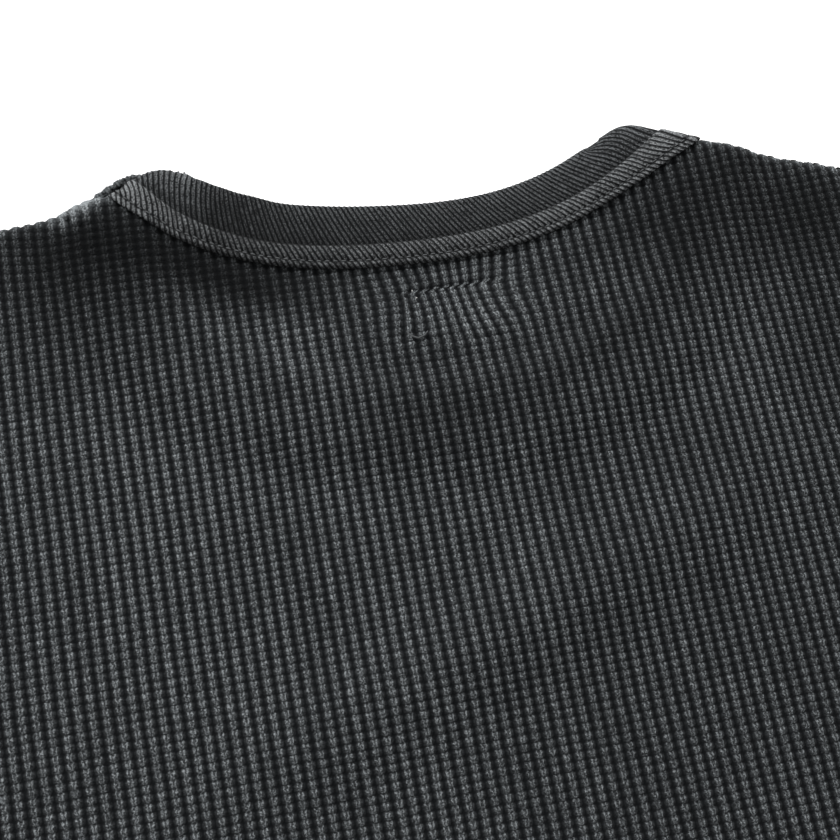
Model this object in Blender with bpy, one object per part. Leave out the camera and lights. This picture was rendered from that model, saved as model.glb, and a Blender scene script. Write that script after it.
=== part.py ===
"""Long-sleeved thermal top in waffle knit, laid flat on a surface with its back up.

The body is a front and a back panel, joined down the sides and over the shoulders. The sleeves are flattened
tubes with rib cuffs. A folded rib collar runs round the neck, and a raised rib binding covers its seam.
Every piece is a wall of cloth about one middle surface. +Y points to the neck, +X to the wearer's right, and
the garment rests on z = 0. Sizes are in metres, and plan places are measured from the middle of the neck.
"""

import math

import bmesh
import bpy
import numpy as np
from mathutils import Matrix

# Body
HEM_HALF = 0.260
LENGTH = 0.700
NECK_RIGHT = (0.0935, 0.0014)
NECK_LEFT = (-0.098, 0.0)
SHOULDER_POINT = (0.225, -0.0384)
UNDERARM = (0.268, -0.250)
UNDERARM_DEGREES = 25  # the way the side seam turns into the sleeve's seam
BACK_NECK = (-0.0068, -0.0297)
FRONT_NECK = (0.0, -0.087)
HEM_DEPTH = 0.022
HEM_RAMP = 0.006
SIDE_START = (91, 0.300)  # the side seam's heading in degrees and its reach, at the hem
UNDERARM_ROUND = 0.024  # reach of the curves that turn at the underarm
ARMHOLE_FOOT_REACH = 0.075
ARMHOLE_TOP = (79, 0.080)  # the armhole's heading in degrees and its reach, at the shoulder

# Sleeves and cuffs
CUFF_TOP = (0.585, -0.455)
SLEEVE_HEADING = math.radians(-52)
SLEEVE_END_WIDTH = 0.105
CUFF_WIDTH = 0.088
CUFF_LENGTH = 0.066
CUFF_INSET = 0.004  # the cuff is this much narrower than the sleeve at its upper edge
SHOULDER_ROUND = 0.055
SLEEVE_TOP_END = (-54, 0.260)  # heading in degrees and reach at the cuff
SLEEVE_UNDER_END = (-50, 0.240)

# Cloth
PANEL_HALF = 0.0010  # half of the waffle cloth's thickness
HEM_HALF_EXTRA = 0.0005  # the turned hem is this much thicker each way
RIB_HALF = 0.0012  # half of the doubled rib's thickness
SEAM_HALF = 0.00015  # half of the gap between two pieces
NECK_TRIM = 0.0006  # the panels' neck edges, in longer chords than the collar's, end this far short of it
LAYER_GAP = 0.0010  # between the front and the back where they lie flat

# Collar and binding
COLLAR_WIDTH = 0.0192
BINDING_HALF_WIDTH = 0.0041
BINDING_THICKNESS = 0.0016
BINDING_LIFT = 0.0004
BINDING_UNDERSIDE = 0.96  # the share of its width that is flat beneath
BINDING_THINNING = 0.70  # the share of its thickness that the binding loses over the fold at the neck's side
NECK_SPRING = 0.0014  # the rolled collar lifts this much at each side of the neck
NECK_SPRING_REACH = 0.028
COLLAR_TAPER = (0.0022, -0.045, 0.035)  # how much narrower it is on the right, and where that starts and ends
CREST_BLEND = 0.035  # the collar turns from square to the seam to the shoulder's slope within this

# Middle heights of the two layers
REST_CLEARANCE = 0.0001  # between the surface and what hangs nearest to it
BACK_MIDDLE = 3 * PANEL_HALF + LAYER_GAP
SEAM_MIDDLE = RIB_HALF + BINDING_LIFT + BINDING_THICKNESS + REST_CLEARANCE  # the front's, over the binding
OPENING_MIDDLE = RIB_HALF + 2 * REST_CLEARANCE  # the back's, inside the front neckline, with nothing beneath
RIDGE_HEIGHT = 0.0025  # the back's extra height over the front's collar seam

# Where the middle heights change, as distances from the front's neckline, negative inside it
SEAM_RAMP = (0.0045, 0.0130)
OPENING_RAMP = (-0.050, -0.018)
RIDGE_RISE = (-0.018, -0.006)
RIDGE_FALL = (0.008, 0.027)

SLOPE_STEP = 0.0005  # over which the middle surface's slope is measured

# Places of the meshes' rows and columns, in metres in from an edge
EDGE_STEPS = (0.0, 0.0004, 0.0012, 0.0026)
TOP_ROWS = (0.0, 0.0004, 0.0012, 0.0026, 0.0050, 0.0090, 0.0140)
NECK_STEPS = (0.0, 0.0003, 0.0010, 0.0022, 0.0040, 0.0070)
NECK_COLUMNS = (0.0, 0.0022, 0.0060, 0.0150)
SHOULDER_COLUMNS = (0.0, 0.0060, 0.0140)
CUFF_STATIONS = (0.0, 0.02, 0.35, 0.70, 0.98, 1.0)
ARMHOLE_ROWS = 10
SIDE_ROWS = 9
UNDERARM_ROWS = (0.0, 0.004, 0.012)
BACK_COLUMNS = (5, 15)  # over a shoulder, and round the neck
FRONT_COLUMNS = (5, 16)
SLEEVE_START = (0.0, 0.02)  # the shares of a sleeve at which its rings stand, first beside the armhole
SLEEVE_MIDDLE = (0.07, 0.985, 8)
NECK_STATIONS = (24, 28)  # round the back of the neck, and round the front
ROW_SKEW = 1.5  # brings the rows closer together towards the shoulders
CORNER_REACH = 0.030  # the neckline's rows turn into the shoulders' within this length
BOW_REACH = 0.35  # the share of a sleeve in which its rings lose the armhole's curve
CURVE_POINTS = 160
SHARP_ANGLE = math.radians(50)  # edges turned more than this are shaded as corners

# Each neckline stretch: from, heading in degrees, reach, to, heading in degrees, reach
BACK_STRETCHES = (
    (NECK_LEFT, -45.6, 0.031, BACK_NECK, 0, 0.042),
    (BACK_NECK, 0, 0.052, NECK_RIGHT, 28, 0.033),
)
FRONT_STRETCHES = (
    (NECK_LEFT, -110, 0.045, FRONT_NECK, 0, 0.068),
    (FRONT_NECK, 0, 0.068, NECK_RIGHT, 110, 0.045),
)

CREASE_END = 0.45  # the share of a crease's height at its two ends
CREASE_SWELL = 2.2  # how much more it has between them
CREASE_EDGE = (0.002, 0.020)  # creases fade out towards a folded edge between these distances from it

# The fold at each side of the neck, past the neck point: tip x, tip y, heading in degrees and reach there,
# reach at the neck point, and how much longer the collar is along the fold than square to its seam. The left
# one is given as its mirror image.
CREST_RIGHT = (0.0666, 0.0048, 211, 0.0159, 0.0148, 1.72)
CREST_LEFT = (0.0748, 0.0055, 204, 0.0165, 0.0025, 1.23)

# The main creases of the upper layer: start x, y, end x, y, height, half width
CREASES = (
    (-0.070, -0.188, 0.112, -0.117, 0.0028, 0.016),
    (0.116, -0.052, 0.092, -0.118, 0.0014, 0.014),
    (0.248, -0.236, 0.150, -0.186, 0.0032, 0.018),
    (-0.248, -0.236, -0.158, -0.196, 0.0028, 0.017),
    (0.240, -0.275, 0.120, -0.262, 0.0026, 0.024),
    (-0.128, -0.320, -0.150, -0.560, 0.0028, 0.030),
    (0.082, -0.300, 0.112, -0.540, 0.0030, 0.028),
    (-0.022, -0.480, 0.000, -0.650, 0.0022, 0.030),
    (0.296, -0.246, 0.262, -0.120, 0.0034, 0.017),
    (-0.298, -0.250, -0.266, -0.132, 0.0030, 0.018),
    (0.338, -0.286, 0.352, -0.178, 0.0028, 0.017),
    (-0.342, -0.282, -0.366, -0.186, 0.0030, 0.016),
    (0.408, -0.368, 0.462, -0.322, 0.0026, 0.017),
    (-0.398, -0.352, -0.456, -0.326, 0.0026, 0.016),
    (0.470, -0.450, 0.528, -0.414, 0.0020, 0.015),
    (-0.478, -0.452, -0.524, -0.400, 0.0022, 0.016),
)

WAFFLE_COLOUR = (0.036, 0.037, 0.040)
RIB_COLOUR = (0.024, 0.025, 0.027)
BINDING_COLOUR = (0.030, 0.031, 0.033)


# ---------------------------------------------------------------- curves and distances


def smooth(value, low, high):
    """0 below low and 1 above high, with a soft change between them."""
    t = np.clip((value - low) / (high - low), 0, 1)
    return t * t * (3 - 2 * t)


def heading(degrees):
    return np.array([math.cos(math.radians(degrees)), math.sin(math.radians(degrees))])


def stretch(start, start_heading, start_reach, end, end_heading, end_reach):
    """A cubic curve that leaves start along one heading and reaches end along another."""
    a = np.array(start, float)
    d = np.array(end, float)
    b = a + start_reach * heading(start_heading)
    c = d - end_reach * heading(end_heading)
    t = np.linspace(0, 1, CURVE_POINTS)[:, None]
    return (1 - t) ** 3 * a + 3 * (1 - t) ** 2 * t * b + 3 * (1 - t) * t**2 * c + t**3 * d


def joined(*curves):
    """One polyline out of curves that follow each other."""
    return np.concatenate([curves[0]] + [c[1:] for c in curves[1:]])


def lengths(line):
    return np.concatenate([[0], np.cumsum(np.linalg.norm(np.diff(line, axis=0), axis=1))])


def along(line, places):
    """Points on a polyline at the given distances along it."""
    run = lengths(line)
    return np.stack([np.interp(places, run, line[:, i]) for i in (0, 1)], -1)


def nearest(points, line):
    """Distance to the nearest point of a polyline, and the polyline's left-hand normal there."""
    a = line[:-1]
    step = np.diff(line, axis=0)
    size = (step**2).sum(1)
    away = points[..., None, :] - a
    t = np.clip((away * step).sum(-1) / size, 0, 1)
    gap = np.linalg.norm(away - t[..., None] * step, axis=-1)
    i = gap.argmin(-1)
    normal = np.stack([-step[:, 1], step[:, 0]], -1) / np.sqrt(size)[:, None]
    return np.take_along_axis(gap, i[..., None], -1)[..., 0], normal[i]


def moved(line, distance):
    """A polyline moved to its left."""
    return line + distance * nearest(line, line)[1]


# ---------------------------------------------------------------- outlines

SLEEVE_WAY = np.array([math.cos(SLEEVE_HEADING), math.sin(SLEEVE_HEADING)])
SLEEVE_SIDE = np.array([-SLEEVE_WAY[1], SLEEVE_WAY[0]])
CUFF_BOTTOM = tuple(np.array(CUFF_TOP) - SLEEVE_END_WIDTH * SLEEVE_SIDE)
SHOULDER_SLOPE = math.atan2(SHOULDER_POINT[1] - NECK_RIGHT[1], SHOULDER_POINT[0] - NECK_RIGHT[0])
SHOULDER_DEGREES = math.degrees(SHOULDER_SLOPE)

BACK_SEAM = joined(*[stretch(*row) for row in BACK_STRETCHES])
FRONT_SEAM = joined(*[stretch(*row) for row in FRONT_STRETCHES])
SLEEVE_TOP = stretch(SHOULDER_POINT, SHOULDER_DEGREES, SHOULDER_ROUND, CUFF_TOP, *SLEEVE_TOP_END)
SLEEVE_UNDER = stretch(UNDERARM, UNDERARM_DEGREES, UNDERARM_ROUND, CUFF_BOTTOM, *SLEEVE_UNDER_END)
ARMHOLE = stretch(UNDERARM, UNDERARM_DEGREES + 90, ARMHOLE_FOOT_REACH, SHOULDER_POINT, *ARMHOLE_TOP)
SIDE_SEAM = stretch((HEM_HALF, -LENGTH), *SIDE_START, UNDERARM, UNDERARM_DEGREES, UNDERARM_ROUND)
ARMHOLE_BODY = moved(ARMHOLE, SEAM_HALF)
ARMHOLE_SLEEVE = moved(ARMHOLE, -SEAM_HALF)

CUFF_START_TOP = np.array(CUFF_TOP) + 2 * SEAM_HALF * SLEEVE_WAY - CUFF_INSET * SLEEVE_SIDE
CUFF_END_TOP = CUFF_START_TOP + CUFF_LENGTH * SLEEVE_WAY
CUFF_UPPER = np.stack([CUFF_START_TOP, CUFF_END_TOP])
CUFF_LOWER = CUFF_UPPER - CUFF_WIDTH * SLEEVE_SIDE


def crest(neck, tip_x, tip_y, degrees, reach, first_reach, _):
    """The fold's line from the neck point to where the collar's free edge lies."""
    return stretch(neck, 180 + SHOULDER_DEGREES, first_reach, (tip_x, tip_y), degrees, reach)


def top_fold(neck, row):
    return joined(crest(neck, *row)[::-1], np.linspace(neck, SHOULDER_POINT, CURVE_POINTS), SLEEVE_TOP)


# Each side's neck point, with the left one mirrored, and its row for the fold there
NECK_SIDES = ((NECK_RIGHT, CREST_RIGHT), ((-NECK_LEFT[0], NECK_LEFT[1]), CREST_LEFT))

# The folded edges, with the outside on their left: from the neck to the cuff, and from the cuff by way of the
# underarm to the hem. The left side's are given as their mirror images.
TOP_FOLDS = [top_fold(*side) for side in NECK_SIDES]
UNDER_FOLDS = 2 * [joined(SLEEVE_UNDER[::-1], SIDE_SEAM[::-1])]


# ---------------------------------------------------------------- the cloth's middle surface


def from_front_neckline(points):
    """Signed distance from the front's neckline: negative inside the neck's opening."""
    gap, _ = nearest(points, FRONT_SEAM[::2])
    x, y = points[..., 0], points[..., 1]
    left, right = FRONT_SEAM[CURVE_POINTS - 1 :: -1], FRONT_SEAM[CURVE_POINTS - 1 :]
    low, high = (np.interp(y, line[:, 1], line[:, 0]) for line in (left, right))
    inside = (y > FRONT_NECK[1]) & (x > low) & (x < high)
    return np.where(inside, -gap, gap)


def creases(points):
    """The height that the creases add to the upper layer."""
    total = np.zeros(points.shape[:-1])
    for x0, y0, x1, y1, height, half_width in CREASES:
        a = np.array([x0, y0])
        way = np.array([x1, y1]) - a
        t = np.clip(((points - a) @ way) / (way @ way), 0, 1)
        off = np.linalg.norm(points - a - t[..., None] * way, axis=-1)
        swell = CREASE_END + CREASE_SWELL * t * (1 - t)
        total = total + height * swell * np.exp(-((off / half_width) ** 2))
    return total


def front_middle(points, half):
    """Height of the lower layer's middle surface."""
    d = np.abs(from_front_neckline(points))
    return half + (SEAM_MIDDLE - half) * (1 - smooth(d, *SEAM_RAMP))


def hem_share(points):
    return 1 - smooth(points[..., 1], -LENGTH + HEM_DEPTH, -LENGTH + HEM_DEPTH + HEM_RAMP)


def back_middle(points, half):
    """Height of the upper layer's middle surface, over what lies beneath it."""
    d = from_front_neckline(points)
    level = OPENING_MIDDLE + (BACK_MIDDLE - OPENING_MIDDLE) * smooth(d, *OPENING_RAMP)
    level = level + RIDGE_HEIGHT * (smooth(d, *RIDGE_RISE) - smooth(d, *RIDGE_FALL))
    beside = np.minimum(*[np.linalg.norm(points - neck, axis=-1) for neck in (NECK_RIGHT, NECK_LEFT)])
    level = level + NECK_SPRING * np.exp(-((beside / NECK_SPRING_REACH) ** 2))
    edge = np.minimum(fold(points, TOP_FOLDS)[0], fold(points, UNDER_FOLDS)[0])
    return level + creases(points) * smooth(edge, *CREASE_EDGE) + 2 * HEM_HALF_EXTRA * hem_share(points)


def fold(points, lines):
    """How far points lie in from a folded edge on either side of the body, and the way out to it."""
    is_left = points[..., 0] < 0
    gap, out = np.empty(points.shape[:-1]), np.empty(points.shape)
    for line, side, here in ((lines[0], (1, 1), ~is_left), (lines[1], (-1, 1), is_left)):
        gap[here], out[here] = nearest(points[here] * side, line)
        out[here] *= side
    return gap, out


def cloth(points, upper, half, height):
    """Points in space, height above the outer side of the middle surface at the given plan places.

    A layer turns through a quarter circle at each folded edge and meets the other layer half way down.
    """
    points = np.asarray(points, float)
    half = np.broadcast_to(half, points.shape[:-1])
    low, high = front_middle(points, half), back_middle(points, half)
    radius = (high - low) / 2
    top_gap, top_out = fold(points, TOP_FOLDS)
    under_gap, under_out = fold(points, UNDER_FOLDS)
    is_top = (top_gap < under_gap)[..., None]
    inset = np.minimum(top_gap, under_gap)
    out = np.where(is_top, top_out, under_out)
    lean = np.clip(1 - inset / radius, 0, 1)
    lift = radius * np.sqrt(1 - lean**2)
    lift = np.maximum(lift, SEAM_HALF)
    sign = 1 if upper else -1
    level = (low + high) / 2 + sign * lift
    middle = high if upper else low
    function = back_middle if upper else front_middle
    steps = ((SLOPE_STEP, 0), (0, SLOPE_STEP))
    slope = np.stack([(function(points + step, half) - middle) / SLOPE_STEP for step in steps], -1)
    flat = np.concatenate([-slope, np.ones(points.shape[:-1] + (1,))], -1)
    flat = sign * flat / np.linalg.norm(flat, axis=-1, keepdims=True)
    rise = np.sqrt(1 - lean**2)[..., None]
    normal = rise * flat + lean[..., None] * np.concatenate([out, np.zeros_like(out[..., :1])], -1)
    normal = normal / np.linalg.norm(normal, axis=-1, keepdims=True)
    middle_points = np.concatenate([points, level[..., None]], -1)
    return middle_points + np.asarray(height)[..., None] * normal


# ---------------------------------------------------------------- meshes


def grid_faces(rows, columns, wrap_rows=False, wrap_columns=False):
    """Quads of a grid of points stored row by row."""
    faces = []
    for i in range(rows if wrap_rows else rows - 1):
        for j in range(columns if wrap_columns else columns - 1):
            k, n = (i + 1) % rows, (j + 1) % columns
            faces.append((i * columns + j, i * columns + n, k * columns + n, k * columns + j))
    return faces


def rim_faces(rows, columns, second):
    """Quads that join the borders of a grid and of its second copy, whose points start at second."""
    border = list(range(columns))
    border += [i * columns + columns - 1 for i in range(1, rows)]
    border += [(rows - 1) * columns + j for j in range(columns - 2, -1, -1)]
    border += [i * columns for i in range(rows - 2, 0, -1)]
    return [(a, a + second, b + second, b) for a, b in zip(border, border[1:] + border[:1])]


def add_object(name, points, faces, material):
    mesh = bpy.data.meshes.new(name)
    mesh.from_pydata([tuple(p) for p in points], [], faces)
    turn_outward(mesh)
    mesh.shade_smooth()
    mesh.set_sharp_from_angle(angle=SHARP_ANGLE)
    mesh.materials.append(material)
    obj = bpy.data.objects.new(name, mesh)
    bpy.context.collection.objects.link(obj)
    return obj


def turn_outward(mesh):
    """Turns every face of a closed mesh outwards."""
    work = bmesh.new()
    work.from_mesh(mesh)
    bmesh.ops.recalc_face_normals(work, faces=work.faces)
    work.to_mesh(mesh)
    work.free()


def add_material(name, colour, roughness):
    material = bpy.data.materials.new(name)
    material.use_nodes = True
    shader = material.node_tree.nodes["Principled BSDF"]
    shader.inputs["Base Color"].default_value = (*colour, 1)
    shader.inputs["Roughness"].default_value = roughness
    shader.inputs["Metallic"].default_value = 0
    return material


def add_wall(name, plan, upper, half, material):
    """A wall of cloth over a grid of plan places, closed round its rim."""
    rows, columns = plan.shape[:2]
    outer = cloth(plan, upper, half, half).reshape(-1, 3)
    inner = cloth(plan, upper, half, -half).reshape(-1, 3)
    second = len(outer)
    faces = grid_faces(rows, columns)
    faces += [tuple(i + second for i in reversed(face)) for face in grid_faces(rows, columns)]
    faces += rim_faces(rows, columns, second)
    return add_object(name, np.concatenate([outer, inner]), faces, material)


def add_tube(name, rings, material):
    """A wall round a hollow. Each of the stations in rings is a closed outer ring and an inner one."""
    stations, _, around = rings.shape[:3]
    outer, inner = rings[:, 0].reshape(-1, 3), rings[:, 1].reshape(-1, 3)
    second = len(outer)
    last = (stations - 1) * around
    faces = grid_faces(stations, around, wrap_columns=True)
    faces += [tuple(i + second for i in reversed(face)) for face in faces]
    for start in (0, last):
        for j in range(around):
            n = (j + 1) % around
            faces.append((start + j, start + n, start + n + second, start + j + second))
    return add_object(name, np.concatenate([outer, inner]), faces, material)


# ---------------------------------------------------------------- panels


def spread(start, end, count, first=(), last=()):
    """Distances from start to end, evenly spaced but for the given insets at each end."""
    low = start + (first[-1] if len(first) else 0)
    high = end - (last[-1] if len(last) else 0)
    head = [start + inset for inset in first[:-1]]
    tail = [end - inset for inset in reversed(last[:-1])]
    return np.concatenate([head, np.linspace(low, high, count), tail])


def armhole_places(count):
    """Places up the armhole, from the underarm to the shoulder, shared by the panels' rows and the sleeve."""
    run = lengths(ARMHOLE)[-1]
    low, high = EDGE_STEPS[-1], run - TOP_ROWS[-1]
    share = 1 - (1 - np.linspace(0, 1, count)) ** ROW_SKEW
    middle = low + (high - low) * share
    return np.concatenate([EDGE_STEPS[:-1], middle, run - np.array(TOP_ROWS[-2::-1])])


def corner_offset(first, second, first_distance, second_distance):
    """The step from a corner that moves it by the two distances along the two unit vectors."""
    return np.linalg.solve(np.stack([first, second]), np.array([first_distance, second_distance]))


def top_row(neck, shoulder_places, neck_places, depth):
    """A row of plan places at one depth below the shoulders and the neckline, from left to right."""
    base = along(neck, neck_places)
    _, normal = nearest(base, neck)
    run = lengths(neck)[-1]
    down = np.array([math.sin(SHOULDER_SLOPE), -math.cos(SHOULDER_SLOPE)])
    tip = along(ARMHOLE_BODY[::-1], [depth])[0]
    steps = -normal * (depth + NECK_TRIM)
    sides = []
    for side, end, places in ((-1, 0, neck_places), (1, -1, run - neck_places)):
        step = corner_offset(down * (side, 1), -normal[end], depth, depth + NECK_TRIM)
        share = 1 - smooth(places, 0, CORNER_REACH)[:, None]
        steps = steps * (1 - share) + step * share
        corner = base[end] + step
        fraction = (shoulder_places / shoulder_places[-1])[:, None]
        sides.append(corner + fraction * (tip * (side, 1) - corner))
    return np.concatenate([sides[0][::-1], (base + steps)[1:-1], sides[1]])


def panel_plan(neck, shoulder_count, neck_count, side_places, up_armhole):
    """The plan places of a body panel: rows from the hem to the top edge, columns from left to right."""
    shoulder_run = np.linalg.norm(np.subtract(SHOULDER_POINT, NECK_RIGHT))
    shoulder_places = spread(0, shoulder_run, shoulder_count, SHOULDER_COLUMNS, EDGE_STEPS)
    neck_places = spread(0, lengths(neck)[-1], neck_count, NECK_COLUMNS, NECK_COLUMNS)
    rows = [top_row(neck, shoulder_places, neck_places, depth) for depth in TOP_ROWS[::-1]]
    top = rows[0]
    up = up_armhole[: 1 - len(TOP_ROWS)]
    side = np.concatenate([along(SIDE_SEAM, side_places), along(ARMHOLE_BODY, up)])
    side[-1] = top[-1]
    top_share = (top[:, 0] - top[0, 0]) / (top[-1, 0] - top[0, 0])
    ends = [inset / HEM_HALF / 2 for inset in EDGE_STEPS]
    share = spread(0, 1, len(top) - 2 * (len(EDGE_STEPS) - 1), ends, ends)
    hem = np.stack([HEM_HALF * (2 * share - 1), np.full(len(top), -LENGTH)], -1)
    v = ((side[:, 1] + LENGTH) / (side[-1, 1] + LENGTH))[:, None, None]
    share, top_share = share[None, :, None], top_share[None, :, None]
    across = share * (1 - v) + top_share * v
    left, right = (side * (-1, 1))[:, None], side[:, None]
    hem_line = (1 - share) * hem[0] + share * hem[-1]
    top_line = (1 - top_share) * top[0] + top_share * top[-1]
    lower = (1 - v) * (hem - hem_line) + v * (top - top_line) + (1 - across) * left + across * right
    return np.concatenate([lower, np.array(rows[1:])])


def add_panel(name, neck, upper, counts, side_places, up_armhole, material):
    plan = panel_plan(neck, *counts, side_places, up_armhole)
    half = PANEL_HALF + HEM_HALF_EXTRA * hem_share(plan)
    return add_wall(name, plan, upper, half, material)


# ---------------------------------------------------------------- sleeves and cuffs


def armhole_bow(shares):
    """How far the armhole runs from the straight line between its ends."""
    run = lengths(ARMHOLE_SLEEVE) / lengths(ARMHOLE_SLEEVE)[-1]
    straight = ARMHOLE_SLEEVE[0] + run[:, None] * (ARMHOLE_SLEEVE[-1] - ARMHOLE_SLEEVE[0])
    off = ARMHOLE_SLEEVE - straight
    return np.stack([np.interp(shares, run, off[:, i]) for i in (0, 1)], -1)


def flat_tube(plan_rings, half, mirror):
    """Outer and inner rings of a flattened tube, out of the plan places across each station."""
    rings = []
    for plan in plan_rings:
        pair = []
        for height in (half, -half):
            high = cloth(plan * mirror, True, half, height)
            low = cloth(plan * mirror, False, half, height)
            ends = (high[[0, -1]] + low[[0, -1]]) / 2
            pair.append(np.concatenate([ends[:1], high[1:-1], ends[1:], low[-2:0:-1]]))
        rings.append(pair)
    return np.array(rings)


def add_sleeve(name, mirror, stations, up_armhole, material):
    shares = up_armhole / up_armhole[-1]
    top_run, under_run = lengths(SLEEVE_TOP)[-1], lengths(SLEEVE_UNDER)[-1]
    plans = []
    for station in stations:
        top = along(SLEEVE_TOP, [station * top_run])[0]
        under = along(SLEEVE_UNDER, [station * under_run])[0]
        line = under + shares[:, None] * (top - under)
        plans.append(line + armhole_bow(shares) * (1 - smooth(station, 0, BOW_REACH)))
    return add_tube(name, flat_tube(plans, PANEL_HALF, mirror), material)


def add_cuff(name, mirror, material):
    """A short rib tube that carries the sleeve's flattened form on, a little narrower."""
    middle_low, middle_high = RIB_HALF, 3 * RIB_HALF + LAYER_GAP
    radius = (middle_high - middle_low) / 2
    centre = (middle_high + middle_low) / 2
    turns = np.radians(np.linspace(90, -90, 7))
    rings = []
    for share in CUFF_STATIONS:
        upper, lower = ((1 - share) * line[0] + share * line[1] for line in (CUFF_UPPER, CUFF_LOWER))
        pair = []
        for half in (RIB_HALF, -RIB_HALF):
            points = []
            for middle, out, angles in ((upper, SLEEVE_SIDE, turns), (lower, -SLEEVE_SIDE, -turns)):
                for angle in angles:
                    place = middle + ((radius + half) * math.cos(angle) - radius) * out
                    points.append((*(place * mirror), centre + (radius + half) * math.sin(angle)))
            pair.append(points)
        rings.append(pair)
    return add_tube(name, np.array(rings), material)


# ---------------------------------------------------------------- collar and binding


def neck_stations(seam, inward_left, count):
    """Seam places round one half of the neck, the way square to the seam, and 0 at the folds to 1 away."""
    run = lengths(seam)[-1]
    places = spread(0, run, count, NECK_STEPS, NECK_STEPS)
    points = along(seam, places)
    _, normal = nearest(points, seam)
    inward = normal if inward_left else -normal
    return points, inward, smooth(np.minimum(places, run - places), 0, CREST_BLEND)


def over_fold(across, neck, row):
    """The places of a band's section along the fold at the side of the neck, from the neck point."""
    line, reach = crest(neck, *row), across * row[-1]
    start = (line[1] - line[0]) / np.linalg.norm(line[1] - line[0])
    return np.where(reach[:, None] > 0, along(line, reach) - neck, reach[:, None] * start)


def tapered(across, x):
    """The places across the collar where it lies narrower, at the plan place x."""
    loss = COLLAR_TAPER[0] * smooth(x, *COLLAR_TAPER[1:])
    past = np.clip(across - BINDING_HALF_WIDTH, 0, None) / (COLLAR_WIDTH - BINDING_HALF_WIDTH)
    return across - loss * past


def neck_ring(section, half, back_count, front_count):
    """Rings of a band round the neck.

    A row of section is a place across the band, a height above the cloth, and how much of that height thins
    where the band turns over the folds at the neck's sides.
    """
    across, height, thin = np.array(section).T
    over_folds = [over_fold(across, *side) for side in NECK_SIDES]
    rings = []
    for seam, upper, count in ((BACK_SEAM, True, back_count), (FRONT_SEAM[::-1], False, front_count)):
        points, inward, share = neck_stations(seam, upper, count)
        stations = list(zip(points, inward, share))
        for point, way, square in stations if upper else stations[1:-1]:
            turned = over_folds[1] * (-1, 1) if point[0] < 0 else over_folds[0]
            level = tapered(across, point[0]) if upper else across
            plan = point + square * level[:, None] * way + (1 - square) * turned
            raised = height - (1 - square) * BINDING_THINNING * thin
            ring = cloth(plan, upper, half, raised)
            if square == 0:
                ring = (ring + cloth(plan, not upper, half, raised)) / 2
            rings.append(ring)
    return np.array(rings)


def add_band(name, rings, material):
    """A band whose section is carried round the neck and joined to itself."""
    stations, around = rings.shape[:2]
    faces = grid_faces(stations, around, wrap_rows=True, wrap_columns=True)
    return add_object(name, rings.reshape(-1, 3), faces, material)


def collar_section():
    """A doubled band: square at its seam and rounded along its free edge."""
    start, end = SEAM_HALF, COLLAR_WIDTH
    flat = (start, BINDING_HALF_WIDTH + 0.0005, 0.0085, 0.0125, end - RIB_HALF)
    rows = [(place, RIB_HALF, 0) for place in flat]
    for degrees in (50, 0, -50):
        turn = math.radians(degrees)
        rows.append((end - RIB_HALF * (1 - math.cos(turn)), RIB_HALF * math.sin(turn), 0))
    return rows + [(place, -RIB_HALF, 0) for place in reversed(flat)]


def binding_section():
    """A raised strip: a round roll beside the collar, a stitched groove and a flat edge on the body."""
    base = RIB_HALF + BINDING_LIFT
    profile = (
        (1.00, 0.10),
        (0.90, 0.75),
        (0.55, 1.00),
        (0.10, 0.95),
        (-0.30, 0.70),
        (-0.42, 0.50),
        (-0.58, 0.72),
        (-0.86, 0.66),
        (-1.00, 0.10),
    )
    rows = []
    for share, rise in profile:
        raised = rise * BINDING_THICKNESS
        rows.append((share * BINDING_HALF_WIDTH, base + raised, raised))
    under = BINDING_UNDERSIDE * BINDING_HALF_WIDTH
    return rows + [(place, base, 0) for place in (-under, 0.0, under)]


# ---------------------------------------------------------------- the garment


def build():
    for obj in list(bpy.data.objects):
        bpy.data.objects.remove(obj, do_unlink=True)
    waffle = add_material("waffle_knit", WAFFLE_COLOUR, 0.92)
    rib = add_material("rib_knit", RIB_COLOUR, 0.94)
    strip = add_material("binding_rib", BINDING_COLOUR, 0.93)
    up_armhole = armhole_places(ARMHOLE_ROWS)
    hem_rows = (0, HEM_DEPTH, HEM_DEPTH + HEM_RAMP)
    side_places = spread(0, lengths(SIDE_SEAM)[-1], SIDE_ROWS, hem_rows, UNDERARM_ROWS)[:-1]
    add_panel("back", BACK_SEAM, True, BACK_COLUMNS, side_places, up_armhole, waffle)
    add_panel("front", FRONT_SEAM, False, FRONT_COLUMNS, side_places, up_armhole, waffle)
    stations = np.concatenate([SLEEVE_START, np.linspace(*SLEEVE_MIDDLE), [1]])
    for name, mirror in (("right", (1, 1)), ("left", (-1, 1))):
        add_sleeve("sleeve_" + name, mirror, stations, up_armhole, waffle)
        add_cuff("cuff_" + name, mirror, rib)
    add_band("collar", neck_ring(collar_section(), RIB_HALF, *NECK_STATIONS), rib)
    add_band("neck_binding", neck_ring(binding_section(), RIB_HALF, *NECK_STATIONS), strip)
    centre_on_origin()


def centre_on_origin():
    """Moves the whole garment so that the bottom centre of its box is the origin."""
    meshes = [obj.data for obj in bpy.data.objects]
    points = np.array([v.co[:] for mesh in meshes for v in mesh.vertices])
    low, high = points.min(0), points.max(0)
    shift = -(low + high) / 2
    shift[2] = -low[2]
    for mesh in meshes:
        mesh.transform(Matrix.Translation(shift.tolist()))


build()
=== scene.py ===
"""Looks of the long-sleeved thermal top, laid flat with its back up.

Each panel is an open shell of knitted cloth on its solid's form. Its mesh lines follow the knit's own grid:
every lump of the waffle is modelled in the camera's view, and every rib elsewhere. Plan places are in metres
from the middle of the neck.
"""

import math

import bpy
import numpy as np
from mathutils import Matrix, Vector


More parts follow.
